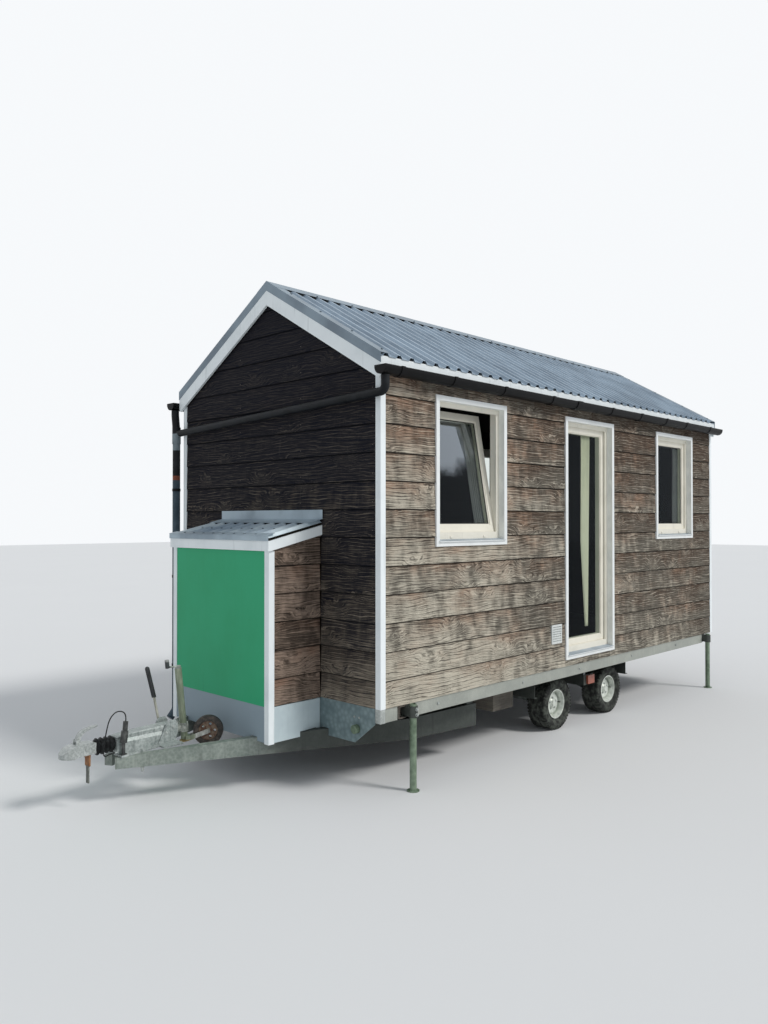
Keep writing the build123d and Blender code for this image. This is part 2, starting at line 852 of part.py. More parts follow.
def coupling_head():
    """Pressed coupling head: a neck on the draw tube that widens to the cup of the ball."""
    half = head_half_width
    cup_x = head_tip_x + half
    z = head_height
    back = bellows_start - seat_gap
    side_view = [
        (head_tip_x, z - 34), (head_tip_x + 4, z - 6), (head_tip_x + 50, z + 28), (lever_pivot[0] - 12, z + 44),
        (back - 30, z + 44), (back, z + 36), (back, z - 34), (cup_x + 60, z - 36), (cup_x + 30, z - 44),
    ]
    plan = make_face(Polyline((cup_x, -half, 0), (back, -half + 16, 0), (back, half - 16, 0), (cup_x, half, 0),
                              close=True))
    shape = extrude(plan, 2 * z, dir=(0, 0, 1)) + rod((cup_x, 0, 0), (cup_x, 0, 2 * z), half)
    head = profile_xz(side_view, -half, half) & shape
    head -= Pos(cup_x, 0, z - 26) * Sphere(ball_radius)
    head -= rod((cup_x, 0, z - 90), (cup_x, 0, z - 26), ball_radius)
    head -= rod((back - tube_radius - 1, 0, z), (back + 5, 0, z), tube_radius + seat_gap)
    for y in (-22, 22):
        head += block(lever_pivot[0] - 14, lever_pivot[0] + 14, y - 4, y + 4, z + 30, lever_pivot[1] + 12)
    return head + rod((lever_pivot[0], -26, lever_pivot[1]), (lever_pivot[0], 26, lever_pivot[1]), 5)


def coupling_lever():
    """Curved handle of the coupling, turning on its pin."""
    x, z = lever_pivot
    half = 17
    boss = rod((x, -half, z), (x, half, z), 11)
    handle = profile_xz(
        [(x - 9, z + 4), (x - 2, z + 30), (x + 16, z + 54), (x + 46, z + 72), (x + 92, z + 82), (x + 136, z + 84),
         (x + 138, z + 74), (x + 94, z + 68), (x + 54, z + 54), (x + 28, z + 32), (x + 16, z + 10), (x + 10, z)],
        -half, half,
    )
    return boss + handle - rod((x, -half - 5, z), (x, half + 5, z), 5 + seat_gap)


def handbrake_lever():
    """Boss on the pivot, a steel rod and a thick rubber grip, leaning forward a little."""
    x, y, z = brake_pivot_x, brake_pivot_y, brake_pivot_z
    knee = (brake_knee[0], y, brake_knee[1])
    tip = (brake_tip[0], y, brake_tip[1])
    lever = rod((x, y, z), knee, 9) + rod(knee, tip, 16)
    lever += Pos(*tip) * Sphere(16)
    lever += rod((x, y - 8, z), (x, y + 8, z), 24)
    return lever - rod((x, y - 20, z), (x, y + 20, z), 9 + seat_gap)


def drawbar_fittings():
    """The parked cable plug in its holder, standing on the arm beside the housing."""
    x, y = plug_x, plug_y
    seat = on_arms(x + 22) + 14 + seat_gap
    foot = block(x - 22, x + 22, y - 12, y + 12, seat, seat + 6)
    holder = rod((x, y, seat), (x, y, head_height + 20), 12)
    plug = rod((x, y, head_height + 16), (x + 10, y, head_height + 92), 24)
    neck = rod((x + 10, y, head_height + 88), (x + 16, y, head_height + plug_height), 17)
    return foot + holder + plug + neck


# The cable leaves the top of the plug, hangs beside the bellows and enters the housing.
cable_route = [
    (plug_x + 16.1, plug_y, head_height + plug_height + 0.4), (plug_x + 20, plug_y, head_height + 200),
    (-1310, -90, 640), (-1362, -94, 640), (-1405, -97, 596), (-1428, -99, 510), (-1440, -97, 424),
    (-1440, -88, 372), (-1418, -68, 346), (-1376, cable_gland[1], cable_gland[2]),
    (cable_gland[0] - 0.1, cable_gland[1], cable_gland[2]),
]


def bend_radii(points):
    """Radius of the arc at each corner of a cable's route."""
    radii = []
    for before, corner, after in zip(points, points[1:], points[2:]):
        first = Vector(*corner) - Vector(*before)
        second = Vector(*after) - Vector(*corner)
        half_turn = radians(first.get_angle(second)) / 2
        radii.append(0.45 * min(first.length, second.length) / tan(half_turn))
    return radii


def plug_cable():
    """Cable between the plug and the housing: straight runs joined by arcs."""
    path = FilletPolyline(*cable_route, radius=bend_radii(cable_route))
    first = Vector(*cable_route[1]) - Vector(*cable_route[0])
    return sweep(Plane(origin=cable_route[0], z_dir=first) * Circle(cable_radius), path=path)


def head_prop():
    """Rusty steel prop that hangs under the coupling head: flange, stem and forked foot."""
    top = head_height - 36 - seat_gap
    wide, narrow = prop_top_width / 2, prop_stem_width / 2
    outline = [
        (-wide, top), (-wide, prop_shoulder), (-narrow, prop_shoulder - 12), (-narrow, prop_foot),
        (-narrow / 3, prop_foot), (0, prop_fork), (narrow / 3, prop_foot), (narrow, prop_foot),
        (narrow, prop_shoulder - 12), (wide, prop_shoulder), (wide, top),
    ]
    plate = profile_yz(outline, prop_x, prop_x + prop_thickness)
    flange = block(prop_x - 34, prop_x + prop_thickness, -wide, wide, top - 7, top)
    return plate + flange


def underfloor_box():
    """Closed wooden box hung under the floor ahead of the axles."""
    outer = block(box_start, box_start + box_length, -box_face, -box_face + box_width,
                  box_bottom, rail_top - seat_gap)
    inner = block(box_start + box_wall, box_start + box_length - box_wall, -box_face + box_wall,
                  -box_face + box_width - box_wall, box_bottom + box_wall, rail_top - seat_gap - box_wall)
    return outer - inner


jockey_foot = Vector(jockey_foot_x, 0, jockey_foot_z)
jockey_top = Vector(jockey_top_x, 0, jockey_top_z)
jockey_up = (jockey_top - jockey_foot).normalized()
jockey_axle = Vector(0, -1, 0).rotate(Axis.Z, -jockey_wheel_turn)
jockey_ahead = Vector(1, 0, 0).rotate(Axis.Z, -jockey_wheel_turn)
jockey_hub = Vector(jockey_foot_x, 0, jockey_wheel_z) + jockey_ahead * jockey_wheel_reach


def at(vector):
    return (vector.X, vector.Y, vector.Z)


def jockey_clamp():
    """Bracket on the rear of the overrun housing that grips the jockey tube."""
    low = jockey_foot + jockey_up * jockey_clamp_foot
    high = low + jockey_up * jockey_clamp_height
    jaw = rod(at(low), at(high), jockey_radius + 11)
    arm = block(housing_end + seat_gap, low.X, -20, 20, low.Z + 8, high.Z - 8)
    screw = rod((low.X, jockey_radius + 4, low.Z + 34), (low.X, jockey_radius + 60, low.Z + 34), 7)
    bar = rod((low.X, jockey_radius + 54, low.Z - 12), (low.X, jockey_radius + 54, low.Z + 80), 5)
    bore = rod(at(low - jockey_up * 10), at(high + jockey_up * 10), jockey_radius + seat_gap)
    return jaw + arm + screw + bar - bore


def jockey_tube():
    """Outer tube with its foot ring and the fork that carries the folded wheel."""
    tube = rod(at(jockey_foot), at(jockey_top), jockey_radius)
    tube += rod(at(jockey_foot - jockey_up * 8), at(jockey_foot), jockey_radius + 12)
    half_gap = jockey_wheel_width / 2 + 6
    root = jockey_foot + Vector(0, 0, 14) + jockey_ahead * 12
    bend = root + jockey_ahead * 26
    tube += beam(at(root), at(bend), 2 * half_gap + 12, 34)
    for side in (-1, 1):
        offset = jockey_axle * (half_gap + 3) * side
        start = bend - jockey_ahead * 4 + offset
        hub = jockey_hub + offset
        reach = (hub - start).normalized()
        tube += beam(at(start), at(hub + reach * 16), 6, 32)
    across = jockey_axle * (half_gap + 9)
    return tube + rod(at(jockey_hub - across), at(jockey_hub + across), 8)


def jockey_crank():
    """Cranked handle with its grip on top of the jockey tube."""
    seat = jockey_top + jockey_up * seat_gap
    cap = seat + jockey_up * 12
    elbow = cap + Vector(-86, 0, 6)
    crank = rod(at(seat), at(seat + jockey_up * 18), jockey_radius - 4)
    crank += rod(at(cap), at(elbow), 6)
    crank += rod(at(elbow - jockey_up * 8), at(elbow + jockey_up * 52), 15)
    return crank


def jockey_wheel():
    """Solid rubber wheel on a pierced steel centre, drawn round Y and turned to its place."""
    half, radius = jockey_wheel_width / 2, jockey_wheel_radius
    side = [(-half, 9), (-half, 24), (-half + 12, 30), (-half + 12, radius - 40), (-half, radius - 34),
            (-half + 5, radius)]
    wheel = revolved(side + [(-y, r) for y, r in reversed(side)])
    wheel -= rod((0, -half - 5, 0), (0, half + 5, 0), 8 + seat_gap)
    for i in range(jockey_wheel_holes):
        angle = radians(360 * i / jockey_wheel_holes)
        x, z = 47 * cos(angle), 47 * sin(angle)
        wheel -= rod((x, -half - 1, z), (x, half + 1, z), 11)
    return Pos(*at(jockey_hub)) * wheel.rotate(Axis.Z, -jockey_wheel_turn)


def locker_line(z_front, x):
    """Height at x of a line that follows the locker roof from z_front at its front."""
    rise = (locker_back_height - locker_front_height) / locker_depth
    return z_front + rise * (x + locker_depth)


def locker_walls():
    """Side walls, front backing, floor and top board of the locker."""
    side = locker_width / 2 - board_depth
    front = -locker_depth + board_depth
    back = board_depth - seat_gap
    inner = side - locker_wall
    top = locker_front_height - locker_cover_drop
    low = plinth_top

    def sloped(x0, x1, y0, y1):
        return profile_xz(
            [(x0, low), (x1, low), (x1, locker_line(top, x1)), (x0, locker_line(top, x0))], y0, y1
        )

    wall = sloped(front, back, -side, -inner)
    backing = sloped(front, front + locker_wall, -inner, inner)
    floor = block(front + locker_wall, back, -inner, inner, low, low + 30)
    x0, x1 = -locker_depth, -seat_gap
    cover = profile_xz(
        [(x0, locker_line(top, x0) + seat_gap), (x1, locker_line(top, x1) + seat_gap),
         (x1, locker_line(top, x1) + 24), (x0, locker_line(top, x0) + 24)],
        -locker_width / 2, locker_width / 2,
    )
    shelf = block(-seat_gap, back + 5, -side - 5, side + 5, low - 5, rail_top + seat_gap)
    return group(both_sides(wall - shelf), backing, floor - shelf, cover)


def locker_panel():
    """Green front panel between the corner boards."""
    half = locker_width / 2 - corner_board_face - seat_gap
    front = -locker_depth + 4
    return block(front, -locker_depth + board_depth - seat_gap, -half, half, plinth_top, panel_top - seat_gap)


def locker_plinth():
    """Folded steel skirt below the boards, cut out over the drawbar arms."""
    step = 6
    outer = locker_width / 2 - step
    x = -locker_depth + step
    low, high = locker_foot + 6, plinth_top - seat_gap
    thick = plinth_thickness
    skirt = block(x, -1, -outer, outer, low, high)
    skirt -= block(x + thick, 5, -outer + thick, outer - thick, low - 5, high - thick)
    post = block(-locker_depth, -locker_depth + corner_board_face + seat_gap,
                 -locker_width / 2, -locker_width / 2 + board_depth, low - 5, high + 5)
    post += block(-locker_depth, -locker_depth + board_depth,
                  -locker_width / 2, -locker_width / 2 + corner_board_face + seat_gap, low - 5, high + 5)
    cut = arm_solid(4) + post
    return skirt - cut - mirrored(cut)


def on_locker_slope(shape):
    """Place a shape drawn up the locker roof: X up the slope, Z off the underside of the sheet."""
    pitch = degrees(atan((locker_back_height - locker_front_height) / locker_depth))
    front = -locker_depth - locker_front_overhang
    level = locker_line(locker_front_height - locker_cover_drop + 24 + 2 * seat_gap, front)
    return Pos(front, 0, level) * shape.rotate(Axis.Y, -pitch)


def locker_run():
    return hypot(locker_depth + locker_front_overhang, locker_back_height - locker_front_height) - 6


def locker_roof():
    """Ribbed sheet of the locker roof."""
    width = locker_width + 2 * locker_side_overhang
    set_back = 8
    sheet = ribbed_sheet(width, locker_run() - set_back, rib_foot / 2 + 12)
    return on_locker_slope(Pos(set_back, -width / 2, 0) * sheet.rotate(Axis.Z, 90))


def locker_flashings():
    """Front flashing of the locker roof and the apron that turns up the gable over it."""
    half = locker_width / 2 + locker_side_overhang
    rib = rib_height + sheet_thickness + seat_gap
    front = -locker_depth - locker_front_overhang
    level = locker_line(locker_front_height - locker_cover_drop + 24, front) + rib
    nose = on_locker_slope(block(-1, 70, -half, half, rib, rib + flashing_thickness))
    nose += block(front - 2, front, -half, half, locker_front_height - 60, level + 2)
    run = locker_run()
    foot = on_locker_slope(block(run - 120, run + 20, -half, half, rib, rib + flashing_thickness))
    foot &= block(-locker_depth, -1, -half, half, 0, ridge_height)
    upturn = block(-3, -1, -half, half, locker_back_height - 30, locker_back_height + apron_height)
    upturn -= on_locker_slope(block(run - 130, run + 40, -half, half, -200, rib))
    return group(nose, foot + upturn)


def gutter():
    """Half-round gutter with end caps, hung from the fascia."""
    radius = gutter_width / 2
    deck_line = deck_ridge - fascia_face * tan(slope)
    top = deck_line - gutter_drop
    low = top - gutter_depth + radius
    x0, x1 = -gutter_front_reach, body_length + gutter_rear_reach

    def trough(r, up, start, end):
        shape = rod((start, -gutter_y, low), (end, -gutter_y, low), r)
        shape = shape & block(start - 1, end + 1, -gutter_y - 200, -gutter_y + 200, low - 200, low)
        return shape + block(start, end, -gutter_y - r, -gutter_y + r, low, up)

    shell = trough(radius - seat_gap, top, x0, x1)
    hollow = trough(radius - gutter_wall, top + 5, x0 + gutter_wall, x1 - gutter_wall)
    return shell - hollow


gutter_floor = deck_ridge - fascia_face * tan(slope) - gutter_drop - gutter_depth
pipe_x = -pipe_radius - 8


def rainwater_pipes():
    """Drop from the door side gutter, the pipe across the gable and the downpipe."""
    high = gutter_floor - pipe_cross_drop
    start = gutter_floor - seat_gap
    across = [
        (pipe_x, -gutter_y, start), (pipe_x, -gutter_y, high),
        (pipe_x, gutter_y - 22, high - gable_pipe_drop),
    ]
    drop = sweep_pipe(across, pipe_radius, 45)
    down = [
        (pipe_x, gutter_y, start), (pipe_x, gutter_y, start - 40), (pipe_x, gutter_y - 22, start - downpipe_neck),
        (pipe_x, gutter_y - 22, 220), (pipe_x - 60, gutter_y - 22, 150),
    ]
    fall = sweep_pipe(down, pipe_radius + 4, 60)
    collar = rod((pipe_x, gutter_y - 22, high - gable_pipe_drop - 90),
                 (pipe_x, gutter_y - 22, high - gable_pipe_drop + 60), pipe_radius + 8)
    return drop + fall + collar


def sweep_pipe(points, radius, bend):
    """A round pipe along straight runs joined by arcs."""
    path = FilletPolyline(*points, radius=bend)
    first = Vector(*points[1]) - Vector(*points[0])
    return sweep(Plane(origin=points[0], z_dir=first) * Circle(radius), path=path)


def vent_grille():
    """Louvred grille of the wall vent beside the door."""
    x0, x1, z0, z1 = vent_start, vent_start + vent_width, vent_foot, vent_foot + vent_height
    face = -half_width - 6
    body = block(x0, x1, face, -core_face - seat_gap, z0, z1)
    rows = 7
    step = (vent_height - 24) / rows
    for i in range(rows):
        z = z0 + 12 + i * step
        slot = profile_yz([(face - 1, z + 3), (face + 12, z + 9), (face + 12, z + step - 1), (face - 1, z + step - 5)],
                          x0 + 12, x1 - 12)
        body -= slot
    return body


def side_markers():
    """Reflecting side markers on the ends of the middle cross beam."""
    x0 = cross_middle + marker_offset
    y1 = -cross_end_y - marker_plate - seat_gap
    marker = block(x0, x0 + marker_width, y1 - marker_depth, y1, marker_foot, marker_foot + marker_height)
    return both_sides(marker)


def build():
    """All the nodes of the house, in the house frame."""
    windows = (front_window, rear_window)
    start, end = wall_thickness, body_length - wall_thickness
    jamb_front = doorway[0] + liner_outer - seat_gap
    jamb_rear = doorway[1] - liner_outer + seat_gap
    over_door = side_wall(jamb_front, jamb_rear, doorway[3] - liner_outer + seat_gap)
    under_door = block(jamb_front, jamb_rear, -core_face, -inner_face, rail_top, doorway[2] + liner_outer - seat_gap)
    front_plate = end_plate() - arm_solid(4) - mirrored(arm_solid(4))
    open_sash = tilted(sash(front_window, seat_gap), front_window)
    open_pane = tilted(pane(front_window, seat_gap), front_window)
    open_curtain = tilted(sash_curtain(front_window, seat_gap, curtain_share), front_window)
    nodes = {
        "side_rails": both_sides(side_rail()),
        "cross_members": cross_members(),
        "skirt_plates": group(front_plate, locker_plinth()),
        "drawbar": group(both_sides(arm_solid()), both_sides(arm_hangers())),
        "axles": axles(),
        "overrun_housing": overrun_housing(),
        "drawbar_fittings": group(jockey_clamp(), drawbar_fittings()),
        "plug_cable": plug_cable(),
        "head_prop": head_prop(),
        "underfloor_box": underfloor_box(),
        "coupling_bellows": coupling_bellows(),
        "coupling_head": coupling_head(),
        "coupling_lever": coupling_lever(),
        "handbrake_lever": handbrake_lever(),
        "jockey_tube": jockey_tube(),
        "jockey_crank": jockey_crank(),
        "jockey_wheel": jockey_wheel(),
        "side_markers": side_markers(),
        "floor_deck": block(start, end, -inner_face, inner_face, rail_top, floor_top),
        "gable_walls": group(gable_wall(), other_end(gable_wall())),
        "door_side_wall_front": side_wall(start, jamb_front, rail_top, front_window),
        "door_side_wall_rear": side_wall(jamb_rear, end, rail_top, rear_window),
        "doorway_walls": group(over_door, under_door),
        "back_wall": mirrored(side_wall(start, end, rail_top, *windows)),
        "roof_decks": roof_decks(),
        "roof_sheets": group(both_sides(roof_sheet()), locker_roof()),
        "roof_flashings": group(roof_flashings(), locker_flashings()),
        "roof_edge_boards": roof_edge_boards(),
        "corner_boards": corner_boards(),
        "gutter_door_side": gutter(),
        "gutter_back_side": mirrored(gutter()),
        "rainwater_pipes": rainwater_pipes(),
        "vent_grille": vent_grille(),
        "window_casings": group(*[both_sides(casing(w)) for w in windows]),
        "window_frames": group(*[both_sides(outer_frame(w)) for w in windows]),
        "window_sashes": group(
            open_sash, sash(rear_window, seat_gap), *[mirrored(sash(w, seat_gap)) for w in windows]
        ),
        "window_glass": group(
            open_pane, pane(rear_window, seat_gap), *[mirrored(pane(w, seat_gap)) for w in windows]
        ),
        "window_curtains": group(
            open_curtain,
            sash_curtain(rear_window, seat_gap, curtain_share),
            *[mirrored(sash_curtain(w, seat_gap, curtain_share)) for w in windows],
        ),
        "door_casing": casing(doorway),
        "door_frame": door_frame(),
        "door_leaf": door_leaf(),
        "door_glass": pane(doorway, sash_gap),
        "door_curtain": door_curtain(),
        "locker_walls": locker_walls(),
        "locker_panel": locker_panel(),
    }
    for side_name, side in sides.items():
        for place, x in zip(("front", "rear"), axle_x):
            nodes[f"{side_name}_{place}_tyre"] = placed_wheel(tyre(), x, side)
            nodes[f"{side_name}_{place}_rim"] = placed_wheel(rim(), x, side)
        for place, x in (("front", steady_front_x), ("rear", steady_rear_x)):
            nodes[f"{side_name}_{place}_steady"] = steady_leg(x, side * steady_y)
    return nodes


if __name__ == "__main__":
    os.makedirs("parts", exist_ok=True)
    for name, shape in build().items():
        export_step(Pos(-middle_x, 0, 0) * shape, f"parts/{name}.step")
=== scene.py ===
"""A tiny house on a two-axle trailer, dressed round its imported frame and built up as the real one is.

Metres throughout. The origin is on the ground under the middle, the hitch is at -X and the door
side faces -Y.
"""
import json
import math
import random

import bmesh
import bpy
from mathutils import Matrix, Vector

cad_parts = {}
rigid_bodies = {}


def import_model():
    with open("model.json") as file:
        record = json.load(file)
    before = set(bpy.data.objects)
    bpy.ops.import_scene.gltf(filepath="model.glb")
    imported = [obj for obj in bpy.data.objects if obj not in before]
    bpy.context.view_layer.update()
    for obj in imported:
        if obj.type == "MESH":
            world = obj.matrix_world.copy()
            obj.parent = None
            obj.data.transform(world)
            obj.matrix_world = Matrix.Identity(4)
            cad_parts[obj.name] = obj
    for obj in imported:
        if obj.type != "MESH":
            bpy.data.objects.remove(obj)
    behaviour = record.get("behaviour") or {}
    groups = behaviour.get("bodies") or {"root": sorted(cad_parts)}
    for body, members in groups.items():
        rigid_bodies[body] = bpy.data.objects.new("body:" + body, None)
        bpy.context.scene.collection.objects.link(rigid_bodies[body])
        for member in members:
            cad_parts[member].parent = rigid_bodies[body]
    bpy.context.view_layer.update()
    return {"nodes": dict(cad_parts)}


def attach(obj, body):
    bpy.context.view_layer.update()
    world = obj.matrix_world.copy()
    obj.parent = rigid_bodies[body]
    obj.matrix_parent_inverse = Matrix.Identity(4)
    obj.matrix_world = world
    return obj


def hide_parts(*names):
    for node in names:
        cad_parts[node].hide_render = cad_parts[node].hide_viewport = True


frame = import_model()

hitch = -1.9455                      # x of the hitch gable's face, from which the house runs back
house_length = 5.56
half_width = 1.25
rail_top = 0.612


# Trailer steel.
# The side rails, cross beams, end plates and drawbar are folded and welded from sheet steel and
# dipped in zinc. The zinc shows cloudy flowers, runs and white bloom, darker where rain hangs.
# Under the house the beams carry painted shade.

def rgb(red, green, blue):
    """A colour as it is seen on a screen, 0 to 255, turned into light."""
    linear = [c / 12.92 if c <= 0.04045 else ((c + 0.055) / 1.055) ** 2.4
              for c in (red / 255, green / 255, blue / 255)]
    return (*linear, 1)


def lit_by(colour, share):
    """A colour with its light multiplied by a share."""
    return (*(c * share for c in colour[:3]), 1)


class Shade:
    """A number that changes over a surface. Sums on it become Math nodes."""

    def __init__(self, finish, socket):
        self.finish = finish
        self.socket = socket

    def sum(self, operation, *values, **settings):
        return self.finish.node("Math", dict(enumerate(values)), operation=operation, **settings)

    def __add__(self, other):
        return self.sum("ADD", self, other)

    def __sub__(self, other):
        return self.sum("SUBTRACT", self, other)

    def __rsub__(self, other):
        return self.sum("SUBTRACT", other, self)

    def __mul__(self, other):
        return self.sum("MULTIPLY", self, other)

    def __truediv__(self, other):
        return self.sum("DIVIDE", self, other)

    def __abs__(self):
        return self.sum("ABSOLUTE", self)

    __radd__ = __add__
    __rmul__ = __mul__

    def either(self, other):
        return self.sum("MAXIMUM", self, other)

    def sine(self):
        return self.sum("SINE", self)

    def ease(self, low, high):
        """0 below low, 1 above high and a soft step between, or the other way if low is higher."""
        return self.finish.node(
            "MapRange", {"Value": self, "From Min": low, "From Max": high}, interpolation_type="SMOOTHSTEP"
        )


class Finish:
    """One procedural material, drawn on the piece's own coordinates."""

    def __init__(self, name, fixed=()):
        self.material = bpy.data.materials.new(name)
        self.material.use_nodes = True
        self.tree = self.material.node_tree
        self.shader = self.tree.nodes["Principled BSDF"]
        for socket, value in dict(fixed).items():
            self.shader.inputs[socket].default_value = value
        self.point = self.node("TexCoord", {}, output="Object")
        self.x, self.y, self.z = (self.node("SeparateXYZ", {0: self.point}, output=i) for i in range(3))

    def node(self, kind, sockets, output=0, **settings):
        made = self.tree.nodes.new("ShaderNode" + kind)
        for setting, value in settings.items():
            setattr(made, setting, value)
        for socket, value in sockets.items():
            if isinstance(value, Shade):
                self.tree.links.new(value.socket, made.inputs[socket])
            else:
                made.inputs[socket].default_value = value
        return Shade(self, made.outputs[output])

    def noise(self, *scales, detail=3.0, rough=0.55):
        """Cloudy noise, with so many clouds a metre along x, y and z."""
        spread = self.node("Mapping", {"Vector": self.point, "Scale": scales})
        return self.noise_at(spread, detail, rough)

    def noise_at(self, vector, detail=3.0, rough=0.55):
        return self.node("TexNoise", {"Vector": vector, "Scale": 1.0, "Detail": detail, "Roughness": rough})

    def vector(self, x, y, z):
        return self.node("CombineXYZ", {0: x, 1: y, 2: z})

    def mix(self, share, first, second):
        return self.node("Mix", {0: share, 6: first, 7: second}, output=2, data_type="RGBA")

    def feed(self, bump=None, depth=0.001, **sockets):
        """Links colours and numbers to the shader, and a height to its normal through a bump."""
        for socket, value in sockets.items():
            self.tree.links.new(value.socket, self.shader.inputs[socket.replace("_", " ").title()])
        if bump is not None:
            lifted = self.node("Bump", {"Height": bump, "Strength": 1.0, "Distance": depth})
            self.tree.links.new(lifted.socket, self.shader.inputs["Normal"])
        return self.material


def coat(material, *nodes):
    """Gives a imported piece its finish."""
    for name in nodes:
        for place in frame["nodes"][name].material_slots:
            place.material = material


def zinc(name, tone, dull, flower=55, grime=0.5, metallic=0.35, roughness=0.5, painted_shade_under_house=0.0):
    """Hot-dipped or plated steel: pale flowers on a cloudy ground, with runs of dirt, and painted shade under
    the house where asked.
    """
    steel = Finish(name)
    cloud = steel.noise(5, 5, 5, detail=5)
    spread = steel.node("Mapping", {"Vector": steel.point, "Scale": (flower, flower, flower)})
    flowers = steel.node("TexVoronoi", {"Vector": spread, "Scale": 1.0, "Randomness": 1.0}, output="Distance")
    speck = steel.noise(160, 160, 160, detail=2)
    runs = steel.noise(34, 34, 1.6, detail=3)
    level = cloud * 0.7 + flowers * 0.35 + speck * 0.25
    bare = steel.mix(level.ease(0.35, 1.05), dull, tone)
    stain = lit_by(dull, 0.42)
    colour = steel.mix(runs.ease(0.52, 0.74) * grime * cloud.ease(0.35, 0.6), bare, stain)
    # Painted shade: steel that runs under the house is darkened where the house's shadow would fall.
    if painted_shade_under_house:
        under = (steel.x - hitch).ease(-0.55, -0.25) * painted_shade_under_house
        colour = steel.mix(under, colour, lit_by(dull, 0.12))
    shine = 0.12 * cloud + 0.18 * flowers + (roughness - 0.14)
    metal = cloud.ease(0.75, 0.35) * metallic
    skin = speck * 0.4 + cloud
    return steel.feed(Base_Color=colour, Roughness=shine, Metallic=metal, bump=skin, depth=0.0006)


rail_zinc = zinc("rail zinc", rgb(172, 175, 166), rgb(150, 154, 148), flower=120, grime=0.22)
beam_zinc = zinc("beam zinc", rgb(158, 166, 158), rgb(112, 122, 116), flower=48, grime=0.6, painted_shade_under_house=0.86)
coat(rail_zinc, "side_rails")
coat(beam_zinc, "drawbar", "cross_members")
coat(zinc("axle zinc", rgb(120, 126, 122), rgb(70, 76, 74), grime=0.8, roughness=0.62), "axles")

# The locker's skirt is smooth coated sheet. The cross plate behind it has large zinc flowers.
skirt = Finish("skirt plates")
cloud = skirt.noise(4, 4, 4, detail=5)
spread = skirt.node("Mapping", {"Vector": skirt.point, "Scale": (26, 26, 26)})
flowers = skirt.node("TexVoronoi", {"Vector": spread, "Scale": 1.0}, output="Distance")
smooth = skirt.x.ease(hitch + 0.005, hitch - 0.005)
sheet_tone = skirt.mix(cloud.ease(0.35, 0.75), rgb(194, 208, 212), rgb(178, 193, 199))
flower_tone = skirt.mix((cloud * 0.6 + flowers * 0.6).ease(0.25, 0.85), rgb(128, 146, 148), rgb(96, 114, 118))
runs = skirt.noise(40, 40, 2, detail=3)
# Painted shade: the front face of the locker's skirt gets a darker copy of the sheet's colour, shade and not
# another coating.
front = smooth * abs(skirt.y).ease(0.612, 0.605)
sheet_tone = skirt.mix(front, sheet_tone, rgb(140, 156, 166))
tone = skirt.mix(smooth, flower_tone, sheet_tone)
tone = skirt.mix(runs.ease(0.60, 0.80) * 0.3, tone, rgb(84, 98, 100))
skirt.feed(Base_Color=tone, Metallic=0.25 - smooth * 0.15, Roughness=cloud * 0.2 + 0.42,
           bump=cloud, depth=0.0008)
coat(skirt.material, "skirt_plates")


def deselect():
    bpy.ops.object.select_all(action="DESELECT")


def set_down():
    """Puts the selected piece's place, turn and size into its mesh."""
    bpy.ops.object.transform_apply(location=True, rotation=True, scale=True)


def settle(name, finish=None):
    """Names the new primitive and sets it down."""
    piece = bpy.context.object
    piece.name = piece.data.name = name
    set_down()
    if finish:
        piece.data.materials.append(finish)
    return piece


def block(name, low, high, finish=None, bevel=0.0):
    """A bar or board between two corners, its edges eased."""
    deselect()
    middle = [(a + b) / 2 for a, b in zip(low, high)]
    size = [b - a for a, b in zip(low, high)]
    bpy.ops.mesh.primitive_cube_add(size=1, location=middle, scale=size)
    piece = settle(name, finish)
    if bevel:
        ease_edges(piece, bevel)
    return piece


def rod(name, start, end, radius, finish=None, sides=16, bevel=0.0):
    """A round or many-sided bar between two points."""
    deselect()
    start, end = Vector(start), Vector(end)
    turn = (end - start).to_track_quat("Z", "Y").to_euler()
    bpy.ops.mesh.primitive_cylinder_add(vertices=sides, radius=radius, depth=(end - start).length,
                                        location=(start + end) / 2, rotation=turn)
    piece = settle(name, finish)
    if bevel:
        ease_edges(piece, bevel)
    return piece


def choose(piece):
    deselect()
    piece.select_set(True)
    bpy.context.view_layer.objects.active = piece


def harden(piece, kind, **settings):
    """Adds a modifier and applies it."""
    choose(piece)
    made = piece.modifiers.new(kind.title(), kind)
    for setting, value in settings.items():
        setattr(made, setting, value)
    bpy.ops.object.modifier_apply(modifier=made.name)


def ease_edges(piece, width, segments=2):
    harden(piece, "BEVEL", width=width, segments=segments, limit_method="ANGLE", angle_limit=math.radians(40))
    bpy.ops.object.shade_smooth_by_angle(angle=math.radians(40))


def pick(test):
    """Selects, in edit mode, the faces whose middle and normal pass the test."""
    bpy.ops.mesh.select_all(action="DESELECT")
    bpy.ops.mesh.select_mode(type="FACE")
    mesh = bmesh.from_edit_mesh(bpy.context.object.data)
    for face in mesh.faces:
        face.select_set(test(face.calc_center_median(), face.normal))
    bmesh.update_edit_mesh(bpy.context.object.data)


def edit(piece):
    choose(piece)
    bpy.ops.object.mode_set(mode="EDIT")
    bpy.ops.mesh.select_all(action="SELECT")


def done():
    bpy.ops.object.mode_set(mode="OBJECT")


def merged(name, parts, body="house"):
    """Joins like pieces into one, which then rides on its body."""
    deselect()
    for part in parts:
        part.select_set(True)
    bpy.context.view_layer.objects.active = parts[0]
    if len(parts) > 1:
        bpy.ops.object.join()
    whole = bpy.context.object
    whole.name = whole.data.name = name
    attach(whole, body)
    return whole


def copied(piece, x=0.0, y=0.0, z=0.0):
    """A copy with its own mesh, moved aside."""
    choose(piece)
    bpy.ops.object.duplicate()
    bpy.ops.transform.translate(value=(x, y, z))
    bpy.ops.object.transform_apply(location=True, rotation=False, scale=False)
    return bpy.context.object


bright_zinc = zinc("bright zinc", rgb(196, 200, 196), rgb(150, 156, 154), flower=90, grime=0.2,
                   metallic=0.55, roughness=0.42)


